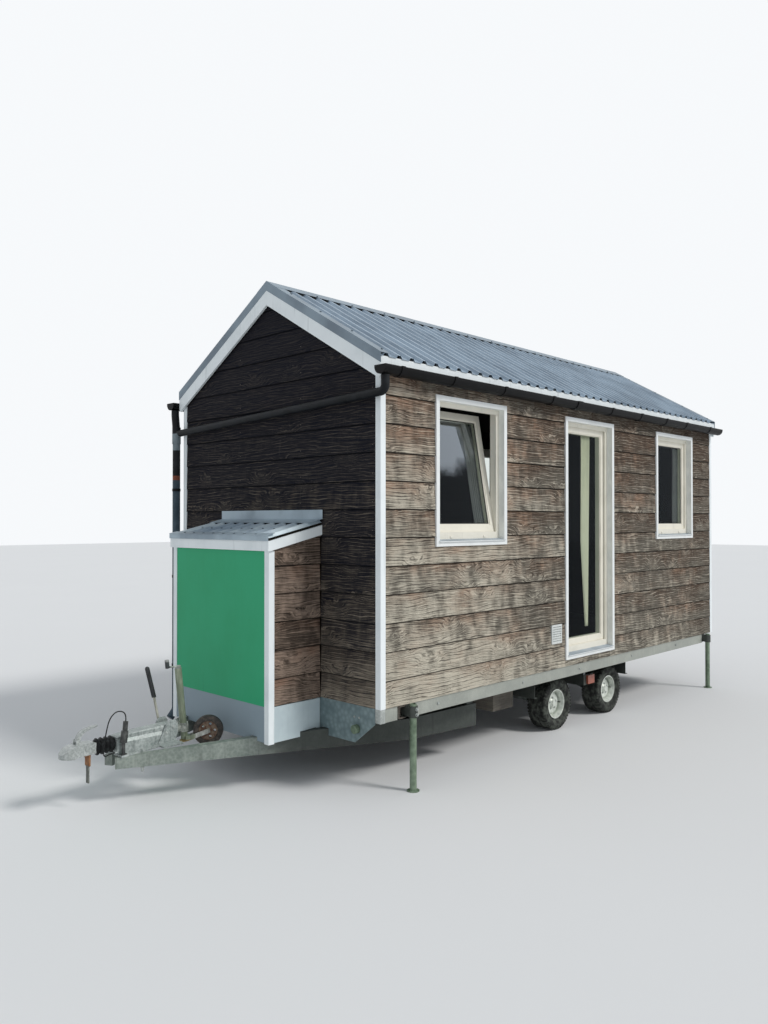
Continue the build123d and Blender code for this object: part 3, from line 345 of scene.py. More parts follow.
def bolt(name, x, y, z, axis, size=0.009, reach=0.008, finish=bright_zinc):
    """A hexagon head on its washer, standing on a face towards axis."""
    axis = Vector(axis)
    foot = Vector((x, y, z))
    washer = rod(name, foot, foot + axis * 0.002, size * 1.35, finish)
    head = rod(name, foot + axis * 0.002, foot + axis * reach, size, finish, sides=6, bevel=0.0008)
    return [washer, head]


rail_bolts = []
for x in (0.62, 1.72, 2.62, 3.62, 4.62):
    for side in (-1, 1):
        rail_bolts += bolt("rail bolt", hitch + x, side * 1.24, 0.562, (0, side, 0))
merged("rail_bolts", rail_bolts)

# A short rail end closes each front corner. A saddle beside it holds the steady's clamp.
rail_depth = 0.098
saddle_low = 0.518
saddle_high = 0.606


def strip(side, along, across, heights, finish):
    """A steel strip between two values each of x from the gable, y from the middle, and z."""
    near, far = sorted(side * y for y in across)
    (x0, x1), (z0, z1) = along, heights
    return block("strip", (hitch + x0, near, z0), (hitch + x1, far, z1), finish, bevel=0.001)


saddle_rust = zinc("saddle steel", rgb(118, 112, 104), rgb(66, 56, 50), flower=60, grime=0.7, metallic=0.2)
rail_ends = []
saddles = []
for side in (-1, 1):
    low, high = rail_top - rail_depth, rail_top - 0.001
    rail_ends += [
        strip(side, (0.002, 0.050), (1.194, 1.247), (low, high), bright_zinc),
        strip(side, (0.053, 0.180), (1.235, 1.240), (low, high), rail_zinc),
        strip(side, (0.068, 0.180), (1.195, 1.235), (low, low + 0.005), rail_zinc),
    ]
    saddles += [
        strip(side, (0.186, 0.192), (1.197, 1.247), (saddle_low, saddle_high), saddle_rust),
        strip(side, (0.192, 0.256), (1.197, 1.247), (saddle_high - 0.006, saddle_high), saddle_rust),
        strip(side, (0.192, 0.256), (1.197, 1.247), (saddle_low, saddle_low + 0.006), saddle_rust),
        strip(side, (0.192, 0.256), (1.197, 1.203), (saddle_low + 0.006, saddle_high - 0.006), saddle_rust),
    ]
    for z in (0.545, 0.583):
        saddles += bolt("clamp bolt", hitch + 0.290, side * 1.3235, z, (0, side, 0), size=0.010, reach=0.014)
merged("rail_ends", rail_ends)
merged("steady_saddles", saddles)


# Wheels.
# Four ten-inch steel wheels with commercial trailer tyres: dusty black rubber with a blocked
# shoulder and three ribs, on silver-lacquered rims with bolt heads and a grease cap.

def lathe(name, outline, centre, axis, finish=None, steps=64, turn=2 * math.pi):
    """A ring spun from a closed outline of (along, radius) points round an axis through centre."""
    deselect()
    centre, axis = Vector(centre), Vector(axis).normalized()
    out = axis.orthogonal().normalized() if abs(axis.z) > 0.9 else Vector((0, 0, 1))
    bpy.ops.mesh.primitive_circle_add(vertices=len(outline), radius=1)
    piece = settle(name, finish)
    for vertex, (along, radius) in zip(piece.data.vertices, outline):
        vertex.co = centre + axis * along + out * radius
    edit(piece)
    bpy.ops.mesh.spin(steps=steps, angle=turn, center=centre, axis=axis)
    bpy.ops.mesh.select_all(action="SELECT")
    bpy.ops.mesh.remove_doubles(threshold=0.00005)
    if turn < 6:
        bpy.ops.mesh.fill_holes(sides=0)
    bpy.ops.mesh.normals_make_consistent(inside=False)
    done()
    bpy.ops.object.shade_smooth_by_angle(angle=math.radians(35))
    return piece


axle_x = (hitch + 2.4865, hitch + 3.4295)
tyre_radius = 0.235
tyre_outer_y = 1.100
tyre_width = 0.195

matt = {"Specular IOR Level": 0.18}


def speckled(name, specks, first, second, rough, spread=0.2, between=None, depth=None, fixed=()):
    """A small piece's finish. One fine noise moves its colour, its shine and, with a depth, its skin."""
    finish = Finish(name, fixed)
    speck = finish.noise(specks, specks, specks)
    share = speck.ease(*between) if between else speck
    return finish.feed(Base_Color=finish.mix(share, first, second), Roughness=speck * spread + rough,
                       bump=speck if depth else None, depth=depth)


rubber = Finish("tyre rubber", matt)
dust = rubber.noise(26, 26, 26, detail=4)
scuff = rubber.noise(140, 140, 140)
rubber.feed(Base_Color=rubber.mix(dust.ease(0.38, 0.68), rgb(38, 39, 38), rgb(82, 86, 80)),
            Roughness=dust * 0.25 + 0.62, bump=scuff, depth=0.0005)

half = tyre_width / 2
tyre_half = [
    (-0.0718, 0.1275), (-0.0760, 0.1330), (-0.0765, 0.1480), (-0.0840, 0.1560), (-0.0890, 0.1640),
    (-0.0905, 0.1655), (-0.0935, 0.1720), (-0.0965, 0.1860), (-0.0955, 0.1960), (-0.0900, 0.2100),
    (-0.0845, 0.2195), (-0.0790, 0.2245), (-0.0650, 0.2282),
]
ribs = [(-0.0500, 0.2290), (-0.0490, 0.2330), (-0.0190, 0.2345), (-0.0180, 0.2290), (-0.0130, 0.2290),
        (-0.0120, 0.2348)]
inner = [(0.0600, 0.2200), (0.0850, 0.1850), (0.0600, 0.1450), (0.0560, 0.1275)]
outline = tyre_half + ribs
outline = outline + [(-a, r) for a, r in reversed(outline)] + inner[::-1] + [(-a, r) for a, r in inner]


def tread_block(y):
    """One shoulder block of the tread at the top of the tyre, tapered over the edge."""
    near, far = sorted((y, y - math.copysign(0.030, y)))
    piece = block("tread block", (-0.0065, near, 0.2240), (0.0065, far, 0.2345), rubber.material)
    edit(piece)
    pick(lambda middle, normal: normal.y * y > 0.5 * abs(y))
    bpy.ops.mesh.extrude_region_move(
        TRANSFORM_OT_translate={"value": (0, math.copysign(0.008, y), -0.011)})
    done()
    return piece


carcass = lathe("tyre", outline, (0, 0, 0), (0, 1, 0), rubber.material, steps=72)
tread = merged("tread row", [tread_block(-0.083), tread_block(0.083)])
edit(tread)
bpy.ops.mesh.spin(steps=48, angle=2 * math.pi, center=(0, 0, 0), axis=(0, 1, 0), dupli=True)
done()
tyre = merged("tyre", [carcass, tread])

silver = zinc("wheel lacquer", rgb(236, 240, 232), rgb(178, 184, 176), flower=24, grime=0.4,
              metallic=0.45, roughness=0.4)
bolt_circle = 0.049

for side_name, side in (("door_side", -1), ("back_side", 1)):
    for place, x in zip(("front", "rear"), axle_x):
        body = f"{side_name}_{place}_wheel"
        middle = (x, side * (tyre_outer_y - half), tyre_radius)
        own = copied(tyre, *middle)
        own.name = own.data.name = f"{side_name}_{place}_dressed_tyre"
        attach(own, body)
        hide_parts(f"{side_name}_{place}_tyre")
        coat(silver, f"{side_name}_{place}_rim")
        face_y = side * (tyre_outer_y - 0.066)
        nuts = []
        for i in range(5):
            angle = math.radians(72 * i + 18)
            bolt_x = x + bolt_circle * math.cos(angle)
            bolt_z = tyre_radius + bolt_circle * math.sin(angle)
            nuts += bolt("wheel bolt", bolt_x, face_y, bolt_z, (0, side, 0), size=0.0085, reach=0.012)
        valve = rod("valve", (x + 0.088, face_y, tyre_radius),
                    (x + 0.093, face_y + side * 0.028, tyre_radius), 0.004, rubber.material, sides=10)
        merged(f"{side_name}_{place}_wheel_bolts", nuts + [valve], body)
bpy.data.objects.remove(tyre)


# Coupling, brake, jockey wheel and cable plug.
# A pressed and plated coupling head with its curved lever, rubber bellows, a ribbed cast
# housing, the parked plug, a rubber-gripped brake lever and the clamped jockey tube.

head_zinc = zinc("head zinc", rgb(206, 210, 208), rgb(140, 146, 144), flower=70, grime=0.45,
                 metallic=0.5, roughness=0.38)
housing_zinc = zinc("housing zinc", rgb(188, 194, 192), rgb(118, 128, 126), flower=60, grime=0.65,
                    metallic=0.45, roughness=0.45)
coat(head_zinc, "coupling_head", "coupling_lever")
coat(housing_zinc, "overrun_housing")

coat(speckled("bellows rubber", 40, rgb(17, 18, 19), rgb(48, 51, 52), 0.35, spread=0.25,
              between=(0.45, 0.75), depth=0.0006, fixed=matt), "coupling_bellows")

fittings = Finish("plug and clamp")
cloud = fittings.noise(30, 30, 30)
parked = fittings.x.ease(hitch - 1.20, hitch - 1.24)
zinc_tone = fittings.mix(cloud.ease(0.35, 0.7), rgb(112, 118, 112), rgb(176, 180, 172))
plug_tone = fittings.mix(cloud.ease(0.4, 0.7), rgb(44, 46, 46), rgb(84, 86, 84))
fittings.feed(Base_Color=fittings.mix(parked, zinc_tone, plug_tone), Metallic=0.4 - parked * 0.4,
              Roughness=0.45 + cloud * 0.2, bump=cloud, depth=0.0004)
coat(fittings.material, "drawbar_fittings")

lever = Finish("brake lever")
cloud = lever.noise(40, 40, 12)
grip = lever.z.ease(0.648, 0.654)
rod_tone = lever.mix(cloud.ease(0.4, 0.7), rgb(150, 150, 138), rgb(198, 198, 186))
grip_tone = lever.mix(cloud.ease(0.4, 0.7), rgb(20, 22, 25), rgb(44, 47, 50))
lever.feed(Base_Color=lever.mix(grip, rod_tone, grip_tone), Metallic=0.35 - grip * 0.35,
           Roughness=0.45 + cloud * 0.2, bump=(lever.z * 900).sine() * grip * 0.5 + cloud, depth=0.0006)
coat(lever.material, "handbrake_lever")

jockey = Finish("jockey tube")
cloud = jockey.noise(24, 24, 7, detail=5)
streak = jockey.noise(70, 70, 3)
foot = jockey.z.ease(0.338, 0.332) * jockey.x.ease(hitch - 0.715, hitch - 0.725)
fork = jockey.x.ease(hitch - 0.735, hitch - 0.725)
tube_tone = jockey.mix(cloud.ease(0.35, 0.7), rgb(118, 128, 108), rgb(158, 166, 146))
tube_tone = jockey.mix(streak.ease(0.5, 0.75) * 0.5, tube_tone, rgb(92, 98, 84))
brass = jockey.mix(cloud, rgb(120, 104, 66), rgb(158, 142, 98))
fork_tone = jockey.mix(cloud.ease(0.4, 0.65), rgb(140, 140, 134), rgb(204, 206, 200))
tone = jockey.mix(fork, jockey.mix(foot, tube_tone, brass), fork_tone)
jockey.feed(Base_Color=tone, Metallic=0.3 + fork * 0.2, Roughness=0.4 + cloud * 0.25,
            bump=cloud, depth=0.0005)
coat(jockey.material, "jockey_tube")

crank = Finish("jockey crank")
cloud = crank.noise(40, 40, 40)
held = crank.x.ease(hitch - 0.885, hitch - 0.893)
arm_tone = crank.mix(cloud.ease(0.4, 0.7), rgb(136, 140, 134), rgb(188, 192, 186))
cap_tone = crank.mix(crank.z.ease(0.905, 0.915), rgb(50, 54, 56), rgb(150, 152, 150))
crank.feed(Base_Color=crank.mix(held, arm_tone, cap_tone), Metallic=0.4 - held * 0.4,
           Roughness=0.42 + cloud * 0.2, bump=cloud, depth=0.0004)
coat(crank.material, "jockey_crank")

cable_diameter = 0.008
cable_route = [
    (hitch - 1.2799, -0.088, 0.5644), (hitch - 1.2760, -0.088, 0.6080), (hitch - 1.3100, -0.090, 0.6400),
    (hitch - 1.3620, -0.094, 0.6400), (hitch - 1.4050, -0.097, 0.5960), (hitch - 1.4280, -0.099, 0.5100),
    (hitch - 1.4400, -0.097, 0.4240), (hitch - 1.4400, -0.088, 0.3720), (hitch - 1.4180, -0.068, 0.3460),
    (hitch - 1.3760, -0.054, 0.3560), (hitch - 1.3401, -0.054, 0.3560),
]
sheath = speckled("cable sheath", 120, rgb(20, 21, 22), rgb(50, 52, 52), 0.45,
                  between=(0.4, 0.75), depth=0.0002, fixed=matt)
line = bpy.data.curves.new("plug_lead", "CURVE")
line.dimensions = "3D"
line.bevel_depth = cable_diameter / 2
line.bevel_resolution = 4
line.use_fill_caps = True
line.resolution_u = 16
lay = line.splines.new("NURBS")
lay.points.add(len(cable_route) - 1)
for point, place in zip(lay.points, cable_route):
    point.co = (*place, 1)
lay.order_u = 3
lay.use_endpoint_u = True
lead = bpy.data.objects.new("plug_lead", line)
bpy.context.scene.collection.objects.link(lead)
line.materials.append(sheath)
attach(lead, "house")
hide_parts("plug_cable")

# The prop under the head has rusted down to its foot. A closed wooden box hangs under the floor.
prop = Finish("head prop")
cloud = prop.noise(60, 60, 30, detail=5)
upper_rust = prop.mix(cloud.ease(0.35, 0.68), rgb(120, 76, 44), rgb(158, 112, 72))
lower_steel = prop.mix(cloud.ease(0.40, 0.70), rgb(84, 88, 84), rgb(126, 128, 120))
prop.feed(Base_Color=prop.mix(prop.z.ease(0.290, 0.302), lower_steel, upper_rust),
          Roughness=cloud * 0.2 + 0.62, bump=cloud, depth=0.0008)
coat(prop.material, "head_prop")
crate = Finish("underfloor box")
cloud = crate.noise(5, 5, 9, detail=5)
fibre = crate.noise(6, 6, 160, detail=4)
tone = crate.mix((cloud * 0.6 + fibre * 0.4).ease(0.35, 0.7), rgb(78, 74, 68), rgb(124, 118, 108))
crate.feed(Base_Color=tone, Roughness=cloud * 0.2 + 0.7, bump=fibre, depth=0.0012)
coat(crate.material, "underfloor_box")

hub_turn = math.radians(40)
wheel_axle = Vector((-math.sin(hub_turn), -math.cos(hub_turn), 0))
wheel_hub = Vector((hitch - 0.767, 0, 0.393)) + 0.170 * Vector((math.cos(hub_turn), -math.sin(hub_turn), 0))
small_wheel = Finish("jockey wheel")
cloud = small_wheel.noise(45, 45, 45, detail=5)
reach = small_wheel.node("VectorMath", {0: small_wheel.point, 1: wheel_hub}, operation="SUBTRACT")
across = small_wheel.node("VectorMath", {0: reach, 1: wheel_axle}, operation="CROSS_PRODUCT")
radius = small_wheel.node("VectorMath", {0: across}, operation="LENGTH", output="Value")
tread = radius.ease(0.066, 0.070)
rust = small_wheel.mix(cloud.ease(0.35, 0.65), rgb(92, 60, 44), rgb(128, 112, 96))
tread_tone = small_wheel.mix(cloud.ease(0.4, 0.7), rgb(40, 37, 35), rgb(84, 77, 70))
small_wheel.feed(Base_Color=small_wheel.mix(tread, rust, tread_tone), Roughness=0.55 + cloud * 0.25,
                 bump=cloud, depth=0.0008)
coat(small_wheel.material, "jockey_wheel")

# Bolts through the housing's foot and cheeks, rivets of the head and the ring of its lever.
arm_rise = 0.0613
shelf_x = -1.270
shelf_z = 0.3375
fixings = []
for side in (-1, 1):
    for x, z in ((-1.000, 0.345), (-0.925, 0.350), (-0.905, 0.455), (-0.960, 0.425)):
        fixings += bolt("cheek bolt", hitch + x, side * 0.072, z, (0, side, 0), size=0.0075)
    for x in (shelf_x, -1.150, -1.060):
        z = shelf_z + (x - shelf_x) * arm_rise
        fixings += bolt("shelf bolt", hitch + x, side * 0.085, z, (0, 0, 1), size=0.0085)
merged("housing_bolts", fixings)
rivets = []
for x in (-1.490, -1.535):
    for side in (-1, 1):
        rivets += bolt("head bolt", hitch + x, side * 0.0385, 0.412, (0, side, 0), size=0.008)
merged("head_bolts", rivets)
arm_bolts = []
for side in (-1, 1):
    arm_bolts += bolt("arm bolt", hitch - 1.19, side * 0.150, 0.2495, (0, 0, -1), size=0.010, reach=0.030)
merged("arm_bolts", arm_bolts)

tips = zinc("steady zinc", rgb(142, 160, 138), rgb(86, 104, 84), flower=30, grime=0.8, roughness=0.5)
coat(tips, *(f"{side}_{place}_steady" for side in ("door_side", "back_side") for place in ("front", "rear")))

# A capped stub of pipe looks out of each hole in the cross plate, with two small bolts above it.
stub_y = 1.010
stub_z = rail_top - 0.168
stub_radius = 0.031
stub_reach = 0.030
plate_face = hitch + 0.004
stubs = []
for y in (-stub_y, stub_y):
    stubs.append(rod("stub", (hitch - stub_reach, y, stub_z), (hitch + stub_reach, y, stub_z), stub_radius,
                     tips, sides=28, bevel=0.002))
    for gap in (-0.025, 0.025):
        stubs += bolt("plate bolt", plate_face, y + gap, stub_z + 0.082, (-1, 0, 0), size=0.006, reach=0.006)
merged("plate_stubs", stubs)

marker = Finish("side marker", {"Coat Weight": 0.5})
lens = (marker.x * 900).sine() * (marker.z * 900).sine()
marker.feed(Base_Color=marker.mix(lens.ease(-0.6, 0.8), rgb(128, 62, 44), rgb(178, 96, 70)),
            Roughness=lens * 0.1 + 0.35, bump=lens, depth=0.0005)
coat(marker.material, "side_markers")


# Floor, wall cores and roof decks.
# Insulated timber panels under the boards. Inside they show as spruce lining, and only
# through the glass; the lining's near-black colour is painted shade of the dim room.

lining = Finish("spruce lining", {"Specular IOR Level": 0.1})
grain = lining.noise(3, 3, 60, detail=5)
planks = (lining.z * 62).sine().ease(0.97, 1.0)
# Painted shade: the lining's colours are far darker than spruce, standing in for the dim room behind the
# glass.
tone = lining.mix(planks * 0.6, lining.mix(grain, rgb(24, 20, 15), rgb(36, 31, 25)), rgb(20, 16, 12))
lining.feed(Base_Color=tone, Roughness=grain * 0.2 + 0.5, bump=grain - planks, depth=0.001)
coat(lining.material, "floor_deck", "gable_walls", "door_side_wall_front", "door_side_wall_rear",
     "doorway_walls", "back_wall", "roof_decks", "locker_walls")


# Weathered boards.
# Rough-sawn larch boards 0.2 m to the weather, each lapping the one below. Sun and rain have
# turned the long sides grey over brown; the hitch gable is nearly black, partly from old stain and
# partly from painted shade, with a bluish dark that deepens towards the top.

course = 0.2004
board_thickness = 0.0225
lap = 0.011
draw = random.Random(7)


def boards(name, pale, warm, dark, climb, stain=0.0, relief=1.0):
    """Grain, rings, knots, saw marks and rain streaks on boards that carry their own numbers, with painted
    shadow under the laps and the gutter.
    """
    wood = Finish(name, {"Specular IOR Level": 0.12})
    row = wood.node("Attribute", {}, output="Vector", attribute_name="board")
    number, chance, _ = (wood.node("SeparateXYZ", {0: row}, output=i) for i in range(3))
    run = wood.x + wood.y + chance * 60
    rise = (wood.z - rail_top) / course - number

    # A knot sits in few of the cells. Its whorl bends the rings that pass it.
    cell = wood.vector(run * 2.3, wood.z * 4.9 + chance * 5, 0.0)
    spot, lot = (wood.node("TexVoronoi", {"Vector": cell, "Scale": 1.0}, output=part, voronoi_dimensions="2D")
                 for part in ("Distance", "Color"))
    chosen = wood.node("SeparateXYZ", {0: lot}, output=0).ease(0.40, 0.50)
    ragged = spot + (wood.noise_at(wood.vector(run * 14, wood.z * 20, 4.0), detail=4) - 0.5) * 0.30
    whorl = ragged.ease(0.50, 0.06) * chosen
    knot = ragged.ease(0.085, 0.045) * chosen

    # Growth rings run along the board and swell into flames. Fibres and dark bars lie between.
    wander = wood.noise_at(wood.vector(run * 1.3, chance * 90, wood.z * 6), detail=3)
    flame = wood.noise_at(wood.vector(run * 5.0, chance * 90, wood.z * 12), detail=3)
    rings = (wood.z * 500 + wander * 55 + flame * 5 + whorl * 24).sine()
    coarse = (wood.z * 260 + wander * 38 + flame * 4 + whorl * 15).sine()
    fibre = wood.noise_at(wood.vector(run * 7, chance * 30, wood.z * 260 + flame * 2), detail=4, rough=0.7)
    bars = wood.noise_at(wood.vector(run * 2.4, chance * 50, wood.z * 70 + flame * 2), detail=4, rough=0.65)
    saw = wood.noise_at(wood.vector(run * 60, chance * 30, wood.z * 5), detail=3)
    grain = rings * 0.42 + coarse * 0.34 + (fibre - 0.5) * 4.4 + (bars - 0.5) * 2.0

    # Rain draws soft streaks down each board. Cloudy patches and whole boards differ in age.
    # The boards also get darker higher up and towards the rear end, and a band just under the gutter is
    # painted shadow.
    down = wood.vector((wood.x + wood.y) * 11, chance * 9, wood.z * 2.2 + rise * 0.7)
    drip = wood.noise_at(down, detail=3, rough=0.5)
    patch = wood.noise_at(wood.vector(run * 2.2, number * 7.0, wood.z * 4.5), detail=5, rough=0.6)
    broad = wood.noise_at(wood.vector((wood.x + wood.y) * 0.8, 1.0, wood.z * 1.0), detail=3)
    high = (wood.z - 0.6) * climb
    back = wood.x - hitch
    aged = (patch - 0.5) * 1.8 + (broad - 0.5) * 0.9 + (1 - rise) * 0.45 + (chance - 0.5) * 0.3 \
        - high - back * 0.03 + 0.60
    # Painted shadow: the last term darkens a band just under the gutter.
    shade = (drip - 0.5) * 1.7 + (patch - 0.5) * 1.0 + (broad - 0.5) * 1.1 + grain * 0.20 \
        - (chance - 0.5) * 0.45 + high * 0.75 + back * 0.060 + back.ease(1.2, 1.9) * 0.30 \
        + back.ease(4.8, 5.4) * 0.50 + stain \
        + wood.z.ease(2.82, 2.93) * wood.z.ease(2.97, 2.95) * 0.35

    bloom = lit_by(pale, 1.3)
    base = wood.mix(aged.ease(0.0, 1.0), warm, pale)
    base = wood.mix(shade.ease(0.0, 1.0) * 0.78, base, dark)
    base = wood.mix((grain * relief + high * 0.2).ease(-0.1, 1.5) * 0.95, base, dark)
    bleached = 0.66 - high * 0.24
    base = wood.mix((grain * relief).ease(-0.2, -1.5) * bleached, base, bloom)
    base = wood.mix(saw.ease(0.56, 0.78) * bleached * 0.22, base, pale)
    base = wood.mix(whorl.ease(0.3, 0.9) * bleached * 0.20, base, pale)
    base = wood.mix(knot * 0.35, base, dark)
    # Painted shadow: a thin dark line where each board laps the one below, and along its lower edge.
    lap_shade = rise.ease(0.900, 0.925) * 0.9
    edge = rise.ease(-0.036, -0.048) * 0.85
    base = wood.mix(lap_shade.either(edge), base, lit_by(dark, 0.35))
    rough = fibre * 0.2 + 0.74
    return wood.feed(Base_Color=base, Roughness=rough,
                     bump=rings * 0.15 + grain * 0.6 + saw * 0.4 - knot * 0.8, depth=0.0022)


grey_boards = boards("grey boards", rgb(198, 191, 175), rgb(154, 126, 106), rgb(40, 35, 31), 0.17, 0.12)
# The hitch gable: dark stained boards whose colours also carry painted shade, the darkest of them bluish.
dark_boards = boards("stained boards with painted shade", rgb(146, 136, 122), rgb(86, 78, 70), rgb(8, 14, 28), 0.95, 0.02, 1.1)
# The locker boards' large stain value darkens them, partly as stain and partly as painted shade.
brown_boards = boards("locker boards", rgb(150, 132, 118), rgb(128, 92, 72), rgb(26, 21, 18), 0.10, 0.50, 1.0)


def cut_out(piece, low, high):
    """Saws a square opening through a board."""
    saw = block("saw", low, high)
    harden(piece, "BOOLEAN", operation="DIFFERENCE", solver="EXACT", object=saw)
    bpy.data.objects.remove(saw)


def slice_off(piece, point, outward):
    """Cuts boards along a slope and closes the cut."""
    edit(piece)
    bpy.ops.mesh.bisect(plane_co=point, plane_no=outward, use_fill=True, clear_outer=True)
    done()


def cladding(name, length, distance, rows, turn, middle, finish, waves, holes=()):
    """A wall of lapped boards, built facing the door side, turned to its place and sawn out."""
    pieces = []
    for i in range(rows):
        low = rail_top + (i * course - lap if i else 0.001)
        high = rail_top + (i + 1) * course
        board = block("board", (-length / 2, -distance, low),
                      (length / 2, board_thickness - distance, high), finish)
        edit(board)
        bpy.ops.mesh.select_all(action="DESELECT")
        bpy.ops.mesh.select_mode(type="EDGE")
        mesh = bmesh.from_edit_mesh(board.data)
        for line in mesh.edges:
            line.select_set(abs(line.verts[0].co.x - line.verts[1].co.x) > length / 2)
        bmesh.update_edit_mesh(board.data)
        bpy.ops.mesh.subdivide(number_cuts=max(4, int(length / 0.055)))
        done()
        phase = [draw.uniform(0, 6.3) for _ in range(3)]
        swell = draw.uniform(0.4, 1.0) * waves
        number = (i, draw.random(), 0)
        for vertex in board.data.vertices:
            x, y, z = vertex.co
            if z > (low + high) / 2:
                vertex.co.y = max(y, 0.010 - distance)
            elif i:
                vertex.co.z += swell * (math.sin(x * 2.3 + phase[0]) + 0.6 * math.sin(x * 6.1 + phase[1])
                                        + 0.35 * math.sin(x * 17 + phase[2]))
        board.rotation_euler.z = math.radians(turn)
        board.location = middle
        choose(board)
        set_down()
        for hole_low, hole_high in holes:
            if hole_low[2] < high and hole_high[2] > low - 0.02:
                cut_out(board, hole_low, hole_high)
        mark = board.data.attributes.new("board", "FLOAT_VECTOR", "POINT")
        mark.data.foreach_set("vector", number * len(board.data.vertices))
        pieces.append(board)
    return merged(name, pieces)


slope = math.radians(30.2)
corner = 0.0505
deck_foot = 3.6775
house_middle = (hitch + house_length / 2, 0, 0)
windows = [(hitch + 0.585, hitch + 1.472), (hitch + 4.142, hitch + 5.029)]
window_z = (1.729, 2.862)
door = (hitch + 2.370, hitch + 3.241)
door_z = (0.670, 2.862)
long_board = house_length - 2 * corner
top_board = 2.949


def hole(x0, x1, z0, z1, side):
    """The saw's box for an opening of a long wall, a shade larger than its casing."""
    return (x0 - 0.001, side * 1.3 - 0.2, z0 - 0.001), (x1 + 0.001, side * 1.3 + 0.2, z1 + 0.001)


for name, side, turn in (("boards_door_side", -1, 0), ("boards_back_side", 1, 180)):
    holes = [hole(*window, *window_z, side) for window in windows]
    if side < 0:
        holes += [hole(*door, *door_z, side), hole(hitch + 2.140, hitch + 2.300, 0.835, 1.002, side)]
    wall = cladding(name, long_board, half_width, 12, turn, house_middle, grey_boards, 0.0016, holes)
    slice_off(wall, (0, 0, top_board), (0, 0, 1))

behind_locker = ((hitch - 0.1, -0.6245, 0.5), (hitch + 0.1, 0.6245, 1.900))
for name, turn, finish, holes in (("boards_hitch_gable", -90, dark_boards, [behind_locker]),
                                  ("boards_rear_gable", 90, grey_boards, [])):
    wall = cladding(name, 2 * (half_width - corner), house_length / 2, 16, turn, house_middle, finish,
                    0.0028, holes)
    for side in (-1, 1):
        slice_off(wall, (0, 0, deck_foot), (0, side * math.sin(slope), math.cos(slope)))

locker_depth = 0.483
locker_half = 0.6235
locker_rise = 0.110 / locker_depth
for name, turn, side in (("boards_locker_door_side", 0, -1), ("boards_locker_back_side", 180, 1)):
    wall = cladding(name, locker_depth - corner - 0.001, locker_half, 7, turn,
                    (hitch - (locker_depth - corner) / 2 - 0.0005, 0, 0), brown_boards, 0.0030)
    slice_off(wall, (hitch - locker_depth, 0, 1.7755), (-locker_rise, 0, 1))


nail_head = speckled("nail head", 300, rgb(70, 62, 56), rgb(120, 112, 104), 0.4)
stud_spacing = 0.60
nail_margin = 0.02
nail_peak = 3.66


def repeat(piece, count, step):
    """Copies a piece in a row, each copy a step on from the last."""
    harden(piece, "ARRAY", count=count, use_relative_offset=False, use_constant_offset=True,
           constant_offset_displace=step)


def nails(name, length, distance, rows, turn, holes, gable=False):
    """Rows of ringed nail heads along the studs, one in each board, none over a hole or the locker."""
    deselect()
    x, z = -length / 2, rail_top + 0.040
    head = rod("nail", (x, 0.004 - distance, z), (x, 0.0004 - distance, z), 0.0032, nail_head, sides=8)
    count = int(length / stud_spacing) + 1
    repeat(head, count, (length / (count - 1), 0, 0))
    repeat(head, rows, (0, 0, course))
    head.rotation_euler.z = math.radians(turn)
    head.location = house_middle
    choose(head)
    set_down()

    def unwanted(place, _):
        for x0, x1, z0, z1 in holes:
            beside = place.x < x0 - nail_margin or place.x > x1 + nail_margin
            if not beside and z0 - nail_margin < place.z < z1 + nail_margin:
                return True
        over_verge = place.z > nail_peak - abs(place.y) * math.tan(slope) - 0.05
        on_locker_side = abs(place.y) < 0.64 and place.z < 2.0 and place.x < hitch + 1
        return gable and (over_verge or on_locker_side)

    edit(head)
    pick(unwanted)
    bpy.ops.mesh.delete(type="FACE")
    done()
    return merged(name, [head])


openings = [(x0, x1, *window_z) for x0, x1 in windows]
door_side_openings = openings + [(*door, *door_z), (hitch + 2.14, hitch + 2.30, 0.83, 1.0)]
nails("nails_door_side", long_board - 0.06, half_width, 12, 0, door_side_openings)
nails("nails_back_side", long_board - 0.06, half_width, 12, 180, openings)
nails("nails_hitch_gable", 2.34, house_length / 2, 15, -90, [], gable=True)
nails("nails_rear_gable", 2.34, house_length / 2, 15, 90, [], gable=True)


# White boards.
# Planed softwood corner boards, barges and fascias, primed and painted white. The paint follows
# the grain, with cloudy wear and darker streaks of dirt.

def paint(name, fresh, worn, grain_along=60.0, wear=0.5):
    coatwork = Finish(name)
    brush = coatwork.noise(grain_along, grain_along, 4, detail=4)
    cloud = coatwork.noise(4, 4, 4, detail=5)
    dirt = coatwork.noise(30, 30, 2.5, detail=4)
    colour = coatwork.mix(cloud.ease(0.40, 0.75) * wear, fresh, worn)
    colour = coatwork.mix(dirt.ease(0.58, 0.80) * wear * 0.7, colour, lit_by(worn, 0.55))
    return coatwork.feed(Base_Color=colour, Roughness=cloud * 0.25 + 0.40,
                         bump=brush + cloud, depth=0.0005)


white = paint("white paint", rgb(236, 242, 244), rgb(212, 220, 223))
coat(white, "corner_boards", "roof_edge_boards")
coat(paint("vent paint", rgb(212, 216, 214), rgb(176, 182, 182)), "vent_grille")
corner_nails = []
high_nails = [0.72 + i * 0.26 for i in range(9)]
low_nails = [0.46 + i * 0.28 for i in range(5)]
for x, foot, face, heights in ((hitch + 0.025, 1.247, 1.2506, high_nails),
                               (hitch + house_length - 0.025, 1.247, 1.2506, high_nails),
                               (hitch - 0.458, 0.620, 0.6241, low_nails)):
    for side in (-1, 1):
        for z in heights:
            corner_nails.append(rod("nail", (x, side * foot, z), (x, side * face, z), 0.0028, white, sides=8))
merged("corner_board_nails", corner_nails)


# Locker.
# A smooth green facing board between white corner boards, on a folded zinc skirt.

